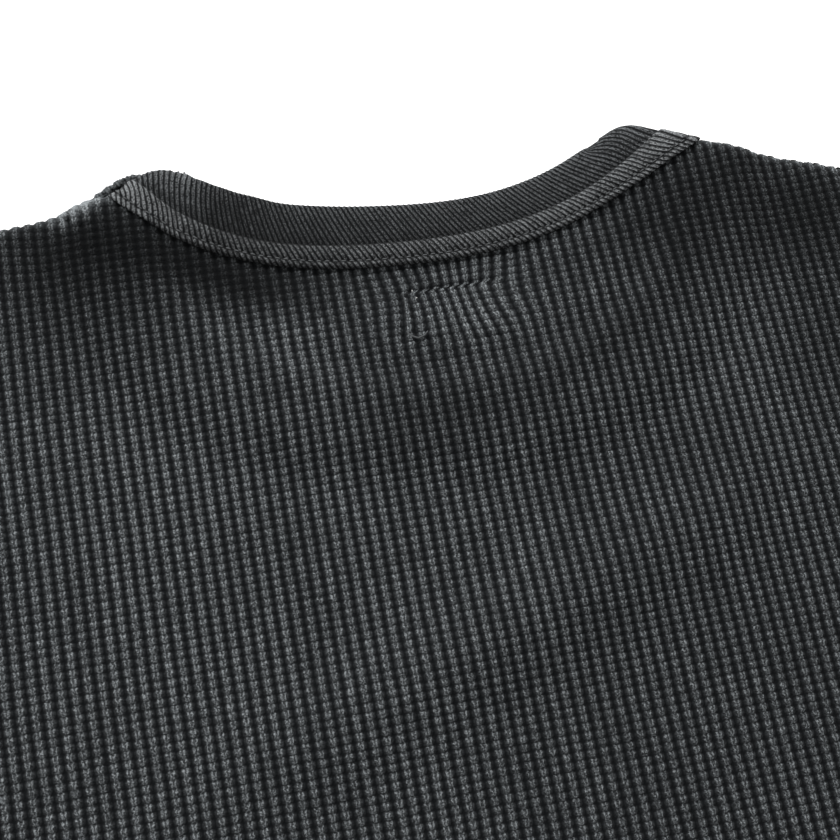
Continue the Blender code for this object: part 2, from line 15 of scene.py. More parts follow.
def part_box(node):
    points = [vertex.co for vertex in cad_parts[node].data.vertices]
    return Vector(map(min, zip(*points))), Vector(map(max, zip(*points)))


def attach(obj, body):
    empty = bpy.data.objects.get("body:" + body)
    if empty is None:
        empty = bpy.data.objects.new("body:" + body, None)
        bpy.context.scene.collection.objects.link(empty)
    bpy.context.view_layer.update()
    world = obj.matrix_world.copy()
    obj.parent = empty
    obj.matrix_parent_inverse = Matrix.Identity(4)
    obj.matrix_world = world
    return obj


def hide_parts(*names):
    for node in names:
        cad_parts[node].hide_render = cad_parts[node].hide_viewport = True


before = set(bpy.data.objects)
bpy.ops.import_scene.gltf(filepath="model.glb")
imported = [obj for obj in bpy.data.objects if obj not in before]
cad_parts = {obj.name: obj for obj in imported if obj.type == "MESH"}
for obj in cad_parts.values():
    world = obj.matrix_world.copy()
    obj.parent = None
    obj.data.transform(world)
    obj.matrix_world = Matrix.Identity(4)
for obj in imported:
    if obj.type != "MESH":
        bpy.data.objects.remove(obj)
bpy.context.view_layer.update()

# ---------------------------------------------------------------- sizes, as in the solids

HEM_HALF = 0.260
LENGTH = 0.700
NECK_RIGHT = (0.0935, 0.0014)
NECK_LEFT = (-0.098, 0.0)
SHOULDER_POINT = (0.225, -0.0384)
UNDERARM = (0.268, -0.250)
UNDERARM_DEGREES = 25
BACK_NECK = (-0.0068, -0.0297)
FRONT_NECK = (0.0, -0.087)
HEM_DEPTH = 0.022
CUFF_TOP = (0.585, -0.455)
SLEEVE_HEADING = math.radians(-52)
SLEEVE_END_WIDTH = 0.105
CUFF_WIDTH = 0.088
CUFF_LENGTH = 0.066
CUFF_INSET = 0.004
PANEL_HALF = 0.0010
RIB_HALF = 0.0012
LAYER_GAP = 0.0010
COLLAR_WIDTH = 0.0192
BINDING_HALF_WIDTH = 0.0041
BINDING_THICKNESS = 0.0016
BINDING_LIFT = 0.0004
# The collar's folds at the sides of the neck: tip x, y, heading in degrees and reach there, reach at the neck
# point, and the run along the fold for each unit across the collar
CREST_RIGHT = (0.0666, 0.0048, 211, 0.0159, 0.0148, 1.72)
CREST_LEFT = (0.0748, 0.0055, 204, 0.0165, 0.0025, 1.23)
BINDING_THINNING = 0.70
# How far the knit runs past the ring lines at the left and right folds, for each unit across
CREST_SHEAR = (0.70, 0.85)
COLLAR_TAPER = (0.0022, -0.045, 0.035)  # the collar's loss of width, and between which x it comes
CREST_BLEND = 0.035
# Where the worn collar's edge stands out or back: x, width, shift
COLLAR_EASES = ((-0.0556, 0.0062, 0.0008), (-0.0719, 0.0061, 0.0020), (-0.0763, 0.0054, -0.0021))
NECK_SPRING = 0.0014
NECK_SPRING_REACH = 0.028
BACK_MIDDLE = 3 * PANEL_HALF + LAYER_GAP
SEAM_MIDDLE = 0.0033
OPENING_MIDDLE = 0.0014
RIDGE_HEIGHT = 0.0025
SEAM_RAMP = (0.0045, 0.0130)
OPENING_RAMP = (-0.050, -0.018)
RIDGE_RISE = (-0.018, -0.006)
RIDGE_FALL = (0.008, 0.027)

# Creases: start x, y, end x, y, height, half width
CREASES = (
    (-0.070, -0.188, 0.112, -0.117, 0.0028, 0.016),
    (0.116, -0.052, 0.092, -0.118, 0.0014, 0.014),
    (0.248, -0.236, 0.150, -0.186, 0.0032, 0.018),
    (-0.248, -0.236, -0.158, -0.196, 0.0028, 0.017),
    (0.240, -0.275, 0.120, -0.262, 0.0026, 0.024),
    (-0.128, -0.320, -0.150, -0.560, 0.0028, 0.030),
    (0.082, -0.300, 0.112, -0.540, 0.0030, 0.028),
    (-0.022, -0.480, 0.000, -0.650, 0.0022, 0.030),
    (0.296, -0.246, 0.262, -0.120, 0.0034, 0.017),
    (-0.298, -0.250, -0.266, -0.132, 0.0030, 0.018),
    (0.338, -0.286, 0.352, -0.178, 0.0028, 0.017),
    (-0.342, -0.282, -0.366, -0.186, 0.0030, 0.016),
    (0.408, -0.368, 0.462, -0.322, 0.0026, 0.017),
    (-0.398, -0.352, -0.456, -0.326, 0.0026, 0.016),
    (0.470, -0.450, 0.528, -0.414, 0.0020, 0.015),
    (-0.478, -0.452, -0.524, -0.400, 0.0022, 0.016),
)
CREASE_END = 0.45
CREASE_SWELL = 2.2

# ---------------------------------------------------------------- the knit

RIB_PITCH = 0.0040  # the waffle's ribs
ROW_PITCH = 0.002642  # and its rows of lumps
BODY_GRAIN = math.radians(3.1)  # the laid body's rows rise this much to the right
WAFFLE_RELIEF = 0.00115
WAFFLE_MIDDLE = 0.55  # the share of that relief at the wall's own surface
# Where the relief is worn: the share that is lost, and how far in from the edge or seam
FOLD_WEAR = (0.45, 0.0045)
NECK_WEAR = (0.45, 0.010)
SEAM_WEAR = (0.65, 0.0022)
SEAM_SINK = 0.0005
HIGHLIGHT_RIM_WIDTH = 0.0018  # the width of the painted highlight along a fold's edge
CRUMPLE_WIDTH = 0.0032
NOTCH = 0.56  # how far the rows' notches cut into the lumps
NOTCH_RAMP = (0.27, 0.50)
RIB_COLUMNS = (0.0, 0.20, 0.34, 0.66, 0.80)  # places of mesh lines across one rib, from the gap's middle
ROW_LINES = (0.0, 0.32, 0.68)
COARSE_COLUMNS = (0.0, 0.30, 0.70)
COARSE_ROWS = (0.0,)
COLLAR_PITCH = 0.00195  # the ribs of the collar, binding and cuffs
COLLAR_RELIEF = 0.00036
RELIEF_MIDDLE = 0.6  # the share of that relief at the wall's own surface
# Painted light and shade on the bands round the neck: places as shares of the back's seam, and the brightness
# painted there
BAND_PAINTED_SHADING = (
    (0, 0.06, 0.16, 0.34, 0.50, 0.68, 1.0, 1.1),
    (2.5, 1.40, 0.58, 0.86, 1.02, 1.15, 1.95, 1.30),
)
COLLAR_LEAN = -0.66  # how far a rib runs along the seam for each unit across the collar

HEM_WRAP = 0.0085  # how much cloth is turned round the hem's edge
HEM_INSET = 0.0015  # the hem's turn starts this far from its edge
HEM_EXTRA = 0.0005  # the doubled hem's wall is this much thicker on each side
HEM_END = 0.004  # the length over which that thickness is lost
LEAST_RADIUS = 0.0003  # of the cloth's fold between the two layers
COARSE_SHARE = 0.9  # relief of the coarse mesh, against the fine one's
RIB_ROW = 0.0013  # a row of stitches in the collar, binding and cuffs
COLLAR_LINES = (0.0, 0.18, 0.34, 0.66, 0.82)  # places of mesh lines across one of the collar's ribs
BAND_LINES = (0.0, 0.20, 0.36, 0.64, 0.80)  # and across one of the binding's and cuffs'
NECK_STITCH = 0.0027  # lengths of a stitch in the binding and the hem
HEM_STITCH = 0.0034
HEM_ROWS = (0.0165, 0.0215)  # the hem's rows of stitches, from its edge
CUFF_HIDDEN = 0.006  # how far a cuff reaches into its sleeve

CURVE_POINTS = 60
CHUNK = 5000  # points that nearest() takes at a time
BACK_RINGS = 260  # rings of the collar and binding along the back's seam and the front's
FRONT_RINGS = 300


def smooth(value, low, high):
    t = np.clip((value - low) / (high - low), 0, 1)
    return t * t * (3 - 2 * t)


def bell(value, width):
    """1 at 0, and next to nothing beyond twice the width."""
    return np.exp(-((value / width) ** 2))


def blended(value_at, i, j, s, t):
    """A value between the four that stand round a place on a grid, s and t of a cell past (i, j)."""
    total = 0
    for right, share in ((0, 1 - s), (1, s)):
        for up, part in ((0, 1 - t), (1, t)):
            total = total + value_at(i + right, j + up) * (share * part)
    return total


def heading(degrees):
    return np.array([math.cos(math.radians(degrees)), math.sin(math.radians(degrees))])


def stretch(start, start_heading, start_reach, end, end_heading, end_reach):
    """A smooth curve between two places, with its headings in degrees and how far each of them holds."""
    a = np.array(start, float)
    d = np.array(end, float)
    b = a + start_reach * heading(start_heading)
    c = d - end_reach * heading(end_heading)
    t = np.linspace(0, 1, CURVE_POINTS)[:, None]
    return (1 - t) ** 3 * a + 3 * (1 - t) ** 2 * t * b + 3 * (1 - t) * t**2 * c + t**3 * d


def joined(*curves):
    return np.concatenate([curves[0]] + [c[1:] for c in curves[1:]])


def lengths(line):
    return np.concatenate([[0], np.cumsum(np.linalg.norm(np.diff(line, axis=0), axis=1))])


def along(line, places):
    run = lengths(line)
    return np.stack([np.interp(places, run, line[:, i]) for i in range(line.shape[1])], -1)


def with_z(plan, z):
    """Plan places or ways with their third part."""
    return np.concatenate([plan, np.broadcast_to(z, plan.shape[:-1])[..., None]], -1)


def unit(vectors):
    return vectors / np.maximum(np.linalg.norm(vectors, axis=-1, keepdims=True), 1e-12)


def nearest(points, line):
    """Signed distance (positive on the line's right), the line's left-hand normal there, and the segment."""
    shape = np.shape(points)[:-1]
    points = np.asarray(points, float).reshape(-1, 2)
    a, step = line[:-1], np.diff(line, axis=0)
    size = np.maximum((step**2).sum(1), 1e-18)
    flat = unit(np.stack([-step[:, 1], step[:, 0]], -1))
    corner = np.concatenate([flat[:1], unit(flat[1:] + flat[:-1]), flat[-1:]])
    if np.allclose(line[0], line[-1]):
        corner[0] = corner[-1] = unit(flat[0] + flat[-1])
    gap, out, index = np.empty(len(points)), np.empty((len(points), 2)), np.empty(len(points), int)
    for start in range(0, len(points), CHUNK):
        p = points[start : start + CHUNK]
        dx, dy = p[:, :1] - a[:, 0], p[:, 1:] - a[:, 1]
        t = np.clip((dx * step[:, 0] + dy * step[:, 1]) / size, 0, 1)
        ex, ey = dx - t * step[:, 0], dy - t * step[:, 1]
        i = (ex * ex + ey * ey).argmin(1)
        r = np.arange(len(p))
        s = t[r, i][:, None]
        normal = unit((1 - s) * corner[i] + s * corner[i + 1])
        ex, ey = ex[r, i], ey[r, i]
        side = np.where(ex * normal[:, 0] + ey * normal[:, 1] > 0, -1, 1)
        gap[start : start + CHUNK] = side * np.hypot(ex, ey)
        out[start : start + CHUNK] = normal
        index[start : start + CHUNK] = i
    return gap.reshape(shape), out.reshape(shape + (2,)), index.reshape(shape)


SLEEVE_WAY = np.array([math.cos(SLEEVE_HEADING), math.sin(SLEEVE_HEADING)])
SLEEVE_SIDE = np.array([-SLEEVE_WAY[1], SLEEVE_WAY[0]])
CUFF_BOTTOM = tuple(np.array(CUFF_TOP) - SLEEVE_END_WIDTH * SLEEVE_SIDE)
SHOULDER_SLOPE = math.atan2(SHOULDER_POINT[1] - NECK_RIGHT[1], SHOULDER_POINT[0] - NECK_RIGHT[0])

BACK_SEAM = joined(
    stretch(NECK_LEFT, -45.6, 0.031, BACK_NECK, 0, 0.042),
    stretch(BACK_NECK, 0, 0.052, NECK_RIGHT, 28, 0.033),
)
FRONT_SEAM = joined(
    stretch(NECK_LEFT, -110, 0.045, FRONT_NECK, 0, 0.068),
    stretch(FRONT_NECK, 0, 0.068, NECK_RIGHT, 110, 0.045),
)
SLEEVE_TOP = stretch(SHOULDER_POINT, math.degrees(SHOULDER_SLOPE), 0.055, CUFF_TOP, -54, 0.260)
SLEEVE_UNDER = stretch(UNDERARM, UNDERARM_DEGREES, 0.024, CUFF_BOTTOM, -50, 0.240)
ARMHOLE = stretch(UNDERARM, UNDERARM_DEGREES + 90, 0.075, SHOULDER_POINT, 79, 0.080)
SIDE_SEAM = stretch((HEM_HALF, -LENGTH), 91, 0.300, UNDERARM, UNDERARM_DEGREES, 0.024)


def crest(neck, tip_x, tip_y, degrees, reach, first_reach, _):
    return stretch(neck, 180 + math.degrees(SHOULDER_SLOPE), first_reach, (tip_x, tip_y), degrees, reach)


def top_fold(neck, row):
    return joined(crest(neck, *row)[::-1], np.linspace(neck, SHOULDER_POINT, 8), SLEEVE_TOP)


NECK_SIDES = ((NECK_RIGHT, CREST_RIGHT), ((-NECK_LEFT[0], NECK_LEFT[1]), CREST_LEFT))
TOP_FOLDS = [top_fold(*side) for side in NECK_SIDES]
UNDER_FOLDS = 2 * [joined(SLEEVE_UNDER[::-1], SIDE_SEAM[::-1])]


def from_front_neckline(points):
    gap = np.abs(nearest(points, FRONT_SEAM)[0])
    x, y = points[..., 0], points[..., 1]
    left, right = FRONT_SEAM[CURVE_POINTS - 1 :: -1], FRONT_SEAM[CURVE_POINTS - 1 :]
    low, high = (np.interp(y, line[:, 1], line[:, 0]) for line in (left, right))
    inside = (y > FRONT_NECK[1]) & (x > low) & (x < high)
    return np.where(inside, -gap, gap)


def line_places(points, a, b):
    """Distance from a straight line and the distance along it, held between its ends."""
    a, way = np.array(a), np.subtract(b, a)
    t = np.clip(((points - a) @ way) / (way @ way), 0, 1)
    return np.linalg.norm(points - a - t[..., None] * way, axis=-1), t * np.linalg.norm(way)


def creases(points):
    total = np.zeros(points.shape[:-1])
    for x0, y0, x1, y1, height, half_width in CREASES:
        off, run = line_places(points, (x0, y0), (x1, y1))
        t = run / math.hypot(x1 - x0, y1 - y0)
        swell = CREASE_END + CREASE_SWELL * t * (1 - t)
        total = total + height * swell * bell(off, half_width)
    return total


def front_middle(points):
    d = np.abs(from_front_neckline(points))
    return PANEL_HALF + (SEAM_MIDDLE - PANEL_HALF) * (1 - smooth(d, *SEAM_RAMP))


def fold(points, lines):
    """Signed inset from a folded edge on either side of the body, and the way out to it."""
    is_left = points[..., 0] < 0
    gap, out = np.empty(points.shape[:-1]), np.empty(points.shape)
    for line, side, here in ((lines[0], (1, 1), ~is_left), (lines[1], (-1, 1), is_left)):
        gap[here], out[here], _ = nearest(points[here] * side, line)
        out[here] *= side
    return gap, out


def nearest_fold(points):
    """Signed inset from the nearer of the folded edges above and below, and the way out to it."""
    top, under = fold(points, TOP_FOLDS), fold(points, UNDER_FOLDS)
    is_top = np.abs(top[0]) < np.abs(under[0])
    return np.where(is_top, top[0], under[0]), np.where(is_top[..., None], top[1], under[1])


def back_middle(points):
    d = from_front_neckline(points)
    level = OPENING_MIDDLE + (BACK_MIDDLE - OPENING_MIDDLE) * smooth(d, *OPENING_RAMP)
    level = level + RIDGE_HEIGHT * (smooth(d, *RIDGE_RISE) - smooth(d, *RIDGE_FALL))
    beside = np.minimum(*[np.linalg.norm(points - neck, axis=-1) for neck in (NECK_RIGHT, NECK_LEFT)])
    level = level + NECK_SPRING * bell(beside, NECK_SPRING_REACH)
    return level + creases(points) * smooth(np.abs(nearest_fold(points)[0]), 0.002, 0.020)


class Field:
    """A smooth function of the plan and its slopes, kept on a grid."""

    def __init__(self, function, low, high, step=0.0015):
        self.low, self.step = np.array(low), step
        self.count = np.ceil((np.array(high) - low) / step).astype(int) + 2
        x, y = np.meshgrid(*[low[i] + step * np.arange(self.count[i]) for i in (0, 1)], indexing="ij")
        values = function(np.stack([x, y], -1))
        self.table = np.stack([values, *np.gradient(values, step)], -1)

    def at(self, points):
        place = np.clip((points - self.low) / self.step, 0, self.count - 1.001)
        cell = place.astype(int)
        t = place - cell
        at = blended(lambda i, j: self.table[i, j], cell[..., 0], cell[..., 1], t[..., :1], t[..., 1:])
        return at[..., 0], at[..., 1:]


BOX = ((-0.64, -0.73), (0.64, 0.03))
LOW = Field(front_middle, *BOX)
HIGH = Field(back_middle, *BOX)


# ---------------------------------------------------------------- helpers for noise


def lattice_noise(x, y, seed):
    """Smooth noise from -1 to 1 with one knot at each whole number."""
    i, j = np.floor(x), np.floor(y)
    return 2 * blended(lambda i, j: chance(i, j, seed), i, j, smooth(x - i, 0, 1), smooth(y - j, 0, 1)) - 1


def chance(i, j, seed):
    """A fixed value from 0 to 1 for each pair of whole numbers."""
    value = np.sin(i * 127.1 + j * 311.7 + seed * 74.7) * 43758.5453
    return value - np.floor(value)


# ---------------------------------------------------------------- meshes


def new_object(name, data):
    obj = bpy.data.objects.new(name, data)
    bpy.context.collection.objects.link(obj)
    return obj


def make_mesh(name, points, faces, uv, bake, relief, tone, fade=None, drawn=0.0):
    """drawn says how far the material draws the notches between the lumps, where the mesh has none."""
    mesh = bpy.data.meshes.new(name)
    mesh.vertices.add(len(points))
    mesh.vertices.foreach_set("co", points.astype(np.float32).ravel())
    mesh.loops.add(faces.size)
    mesh.loops.foreach_set("vertex_index", faces.astype(np.int32).ravel())
    mesh.polygons.add(len(faces))
    width = faces.shape[1]
    mesh.polygons.foreach_set("loop_start", np.arange(len(faces), dtype=np.int32) * width)
    mesh.polygons.foreach_set("loop_total", np.full(len(faces), width, np.int32))
    mesh.update(calc_edges=True)
    for label, values in (("OFBake", bake), ("Grain", uv)):
        layer = mesh.uv_layers.new(name=label)
        corners = values if values.shape[:2] == faces.shape else values[faces]
        layer.data.foreach_set("uv", corners.astype(np.float32).ravel())
    mesh.uv_layers.active_index = 0
    fade = np.ones(len(points)) if fade is None else fade
    drawn = np.full(len(points), drawn)
    for label, values in (("relief", relief), ("tone", tone), ("fade", fade), ("drawn", drawn)):
        layer = mesh.attributes.new(label, "FLOAT", "POINT")
        layer.data.foreach_set("value", values.astype(np.float32))
    mesh.shade_smooth()
    return new_object(name, mesh)


def used_only(points, faces, *rest):
    """Drops the points that no face uses."""
    used = np.unique(faces)
    index = np.full(len(points), -1)
    index[used] = np.arange(len(used))
    return (points[used], index[faces]) + tuple(values[used] for values in rest)


def closed_faces(shape, axis):
    """Faces of a grid of points, open along its second axis and closed on itself along the given one."""
    index = np.arange(math.prod(shape)).reshape(shape)
    following = np.roll(index, -1, axis)
    return np.stack([index[:, :-1], following[:, :-1], following[:, 1:], index[:, 1:]], -1).reshape(-1, 4)


# ---------------------------------------------------------------- the waffle's form


def waffle(cu, cv, has_rows):
    """Relief from 0 in the gaps to 1 on the lumps, at places counted in ribs and rows."""
    i, j = np.floor(cu), np.floor(cv)
    a, b = cu - i - 0.5, cv - j - 0.5
    size = 0.90 + 0.16 * chance(i, j, 3)
    across = 1 - smooth(np.abs(a - 0.06 * (chance(i, j, 5) - 0.5)), 0.18, 0.46)
    valley = smooth(np.abs(b), *NOTCH_RAMP) if has_rows else 0 * b
    lump = across * (1 - NOTCH * valley) * size
    bar = (1 - across) * 0.16 * (1 - valley)
    return lump + bar


def soft_bend(points):
    """Small unevenness of the laid cloth, on top of the solid's form."""
    x, y = points[..., 0], points[..., 1]
    broad, small = lattice_noise(x / 0.034, y / 0.041, 11), lattice_noise(x / 0.013, y / 0.017, 12)
    return 0.00035 * broad + 0.00016 * small


def line_height(row, x):
    """The y of a line of stitches at each x."""
    x0, y0, x1, y1 = row[:4]
    return y0 + (y1 - y0) / (x1 - x0) * (x - x0)


# The label's stitches: start x, y, end x, y, depth, half width
LABEL_LINES = (
    (-0.0118, -0.0435, 0.0205, -0.0423, 0.0008, 0.0007),
    (-0.0128, -0.0610, -0.0118, -0.0450, 0.0009, 0.0008),
    (-0.0080, -0.0610, -0.0075, -0.0470, 0.0008, 0.0008),
    (-0.0120, -0.0613, 0.0235, -0.0630, 0.0005, 0.0007),
    (0.0225, -0.0430, 0.0250, -0.0620, 0.0005, 0.0009),
)
LABEL_MIDDLE = (0.0060, -0.0530)
LABEL_DRAW = 0.17  # how much closer the ribs stand at the upper line of stitches
LABEL_SLIP = (-0.0020, -0.0003)  # how far the ribs inside stand aside at the upper and the lower line

# The roll beside the label: start, end, half width, height
LABEL_ROLL = ((-0.0104, -0.0615), (-0.0098, -0.0440), 0.0015, 0.00065)

# The loop of yarn where its seam ends, and the middles and half lengths of its pale threads
LABEL_LOOP = (
    (-0.0117, -0.0580), (-0.0106, -0.0597), (-0.0082, -0.0609), (-0.0060, -0.0601), (-0.0046, -0.0586),
)
LABEL_ENDS = (((-0.0075, -0.0435), (0.00005, 0.00035)), ((-0.0065, -0.0462), (0.00030, 0.00012)))

# Painted shade and light on the back, for how the lamp falls on its slopes, under the binding and round the
# label: middle x, y, half widths, turn in degrees, change
PAINTED_SHADE_AND_LIGHT = (
    (-0.112, -0.019, 0.036, 0.023, 0, -0.89),
    (-0.112, -0.046, 0.036, 0.024, 0, -0.32),
    (-0.042, -0.036, 0.030, 0.010, -6, -0.34),
    (-0.072, -0.030, 0.044, 0.011, -27, -0.88),
    (0.056, -0.034, 0.042, 0.010, 28, -0.45),
    (0.086, -0.034, 0.020, 0.028, -10, -0.66),
    (0.134, -0.030, 0.032, 0.023, 0, -0.76),
    (0.100, -0.018, 0.020, 0.016, -16, -0.36),
    (0.112, -0.012, 0.016, 0.012, -16, -0.45),
    (0.132, -0.070, 0.022, 0.036, 0, -0.42),
    (0.016, -0.052, 0.024, 0.011, 4, 0.44),
    (-0.012, -0.071, 0.046, 0.009, 4, -0.20),
    (0.004, -0.086, 0.040, 0.014, 6, -0.40),
    (0.056, -0.066, 0.026, 0.015, 28, -0.46),
    (0.082, -0.106, 0.044, 0.014, 0, -0.20),
    (-0.114, -0.125, 0.044, 0.060, 0, 0.14),
    (-0.060, -0.170, 0.060, 0.026, 0, 0.08),
    (-0.006, -0.104, 0.052, 0.008, 4, 0.20),
    (0.098, -0.090, 0.010, 0.036, 8, 0.14),
    (0.090, -0.180, 0.080, 0.080, 0, -0.16),
    (-0.0506, -0.0300, 0.0170, 0.0090, -10, -0.40),
    (-0.0153, -0.0340, 0.0220, 0.0070, 0, -0.20),
    (-0.0530, -0.0500, 0.0130, 0.0100, 0, 0.50),
    (0.0172, -0.0574, 0.0100, 0.0080, 0, 0.34),
    (-0.0127, -0.0950, 0.0200, 0.0120, 0, -0.22),
    (-0.1132, -0.0062, 0.0066, 0.0036, 32, 13.00),
)
CRUMPLE = (-0.1130, -0.0060, 0.0072, 0.0072, 0)  # the worn fold at the neck's left: x, y, half widths, turn
CRUMPLE_HEIGHT = 0.0010

# Where the cloth by the shoulder's fold lies off the solid's outline: x, half width, depth inwards, shifts
# ahead and up, and the layers that move
PULLS = (
    (-0.142, 0.016, 0.030, 0.0036, 0.0, "both"),
    (0.113, 0.009, 0.020, 0.0016, 0.0, "both"),
    (0.143, 0.013, 0.026, 0.0010, 0.0, "both"),
    (-0.1100, 0.0050, 0.008, 0.0006, 0.0004, "upper"),
)


def label_shift(points):
    """The label's stitches draw the ribs together, and set those between its lines off sideways."""
    middle = np.array(LABEL_MIDDLE) + (0, 0.0065)
    off = (points - middle) / (0.0240, 0.0140)
    near = np.exp(-((off**2).sum(-1) ** 2))
    shift = -LABEL_DRAW * near[..., None] * (points - middle) * (1, 0.2)
    x, y = points[..., 0], points[..., 1]
    top, bottom = LABEL_LINES[0], LABEL_LINES[3]
    inside = smooth(x, -0.0135, -0.0105) * (1 - smooth(x, 0.0170, 0.0300))
    for depth in (line_height(top, x) - y, y - line_height(bottom, x)):
        inside = inside * smooth(depth, -0.0003, 0.0009)
    shift[..., 0] += np.interp(y, (bottom[1], top[1]), LABEL_SLIP[::-1]) * inside
    return shift


def soft_ellipse(points, x, y, half_x, half_y, degrees):
    """A soft ellipse, 1 in its middle."""
    turn = math.radians(degrees)
    way = np.array([[math.cos(turn), math.sin(turn)], [-math.sin(turn), math.cos(turn)]])
    off = ((points - (x, y)) @ way.T) / (half_x, half_y)
    return np.exp(-(off**2).sum(-1))


def body_detail(points):
    """Height that the label's stitches and the laid neck give the back, and the light and shade painted on
    it.
    """
    height, fade = np.zeros(len(points)), np.ones(len(points))
    x, y = points[:, 0], points[:, 1]
    for x0, y0, x1, y1, depth, width in LABEL_LINES:
        off, run = line_places(points, (x0, y0), (x1, y1))
        groove = bell(off, width)
        rough = lattice_noise(run / 0.0024, off / 0.0030 + 7 * x0, 61)
        height += 0.00030 * bell(off, 0.0034) * rough - depth * groove
        # painted shade along the stitches' grooves
        fade *= 1 - 0.16 * groove
    off = (points - LABEL_MIDDLE) / (0.0190, 0.0125)
    height += 0.00050 * np.exp(-((off**2).sum(-1) ** 2))
    off, run = line_places(points, *LABEL_ROLL[:2])
    roll = bell(off, LABEL_ROLL[2])
    height += LABEL_ROLL[3] * roll * (1 + 0.4 * lattice_noise(run / 0.0019, 0 * run, 63))
    # painted highlight on the roll beside the label
    fade *= 1 + 0.30 * roll
    # painted light just below the label's upper line of stitches
    below = bell(y - line_height(LABEL_LINES[0], x) + 0.0018, 0.0016)
    fade *= 1 + 0.25 * below * smooth(x, -0.014, -0.008) * (1 - smooth(x, 0.020, 0.026))
    # painted shade and light in soft patches over the back
    for *place, change in PAINTED_SHADE_AND_LIGHT:
        fade *= 1 + change * soft_ellipse(points, *place)
    rough = 0.5 + 0.8 * lattice_noise(x / 0.0015, y / 0.0013, 62)
    return height + CRUMPLE_HEIGHT * soft_ellipse(points, *CRUMPLE) * rough, fade


def knit_plan(u, v, way):
    """Plan places of places counted in ribs and rows."""
    return (u * RIB_PITCH)[..., None] * way[0] + (v * ROW_PITCH)[..., None] * way[1]


def knit_grid(low, high, columns, rows, way, keep):
    """The mesh lines' places, counted in ribs and rows, and the faces between them."""
    cells_u, cells_v = np.arange(low[0], high[0]), np.arange(low[1], high[1])
    cu = np.append((cells_u[:, None] + np.array(columns)).ravel(), high[0])
    cv = np.append((cells_v[:, None] + np.array(rows)).ravel(), high[1])
    kept = np.ones((len(cells_u), len(cells_v)), bool)
    if keep is not None:
        kept = keep(knit_plan(*np.meshgrid(cells_u + 0.5, cells_v + 0.5, indexing="ij"), way))
    kept = np.repeat(np.repeat(kept, len(columns), 0), len(rows), 1)
    index = np.arange(len(cu) * len(cv)).reshape(len(cu), len(cv))
    quads = np.stack([index[:-1, :-1], index[1:, :-1], index[1:, 1:], index[:-1, 1:]], -1)[kept]
    u, v = np.meshgrid(cu, cv, indexing="ij")
    u, quads, v = used_only(u.ravel(), quads, v.ravel())
    return u, v, quads


def uneven(points):
    """The small wander of the ribs and rows in the plan."""
    x, y = points[:, 0], points[:, 1]
    aside, ahead = lattice_noise(x / 0.05, y / 0.04, 21), lattice_noise(x / 0.04, y / 0.05, 22)
    return 0.00030 * np.stack([aside, ahead], -1)


def snap_rim(points, quads, reach, out, spacing):
    """Moves the open edge's points onto the outline."""
    edges = np.sort(np.concatenate([quads[:, [i, (i + 1) % 4]] for i in range(4)]), 1)
    code, uses = np.unique(edges[:, 0] * len(points) + edges[:, 1], return_counts=True)
    rim = np.unique(np.concatenate([code[uses == 1] // len(points), code[uses == 1] % len(points)]))
    rim = rim[np.abs(reach[rim]) < 1.2 * spacing]
    points[rim] += out[rim] * reach[rim][:, None]


def turn_hem(points):
    """Turns the lower edge up round the hem. Gives the wall's half thickness and the turn's angle."""
    past = HEM_INSET - LENGTH - points[:, 1]
    top = HEM_DEPTH - LENGTH
    half = PANEL_HALF + HEM_EXTRA * (1 - smooth(points[:, 1], top, top + HEM_END))
    turn = np.clip(past / half, 0, math.pi)
    beyond = np.maximum(past - math.pi * half, 0)
    points[:, 1] = np.where(past > 0, HEM_INSET - LENGTH - half * np.sin(turn) + beyond, points[:, 1])
    return half, turn


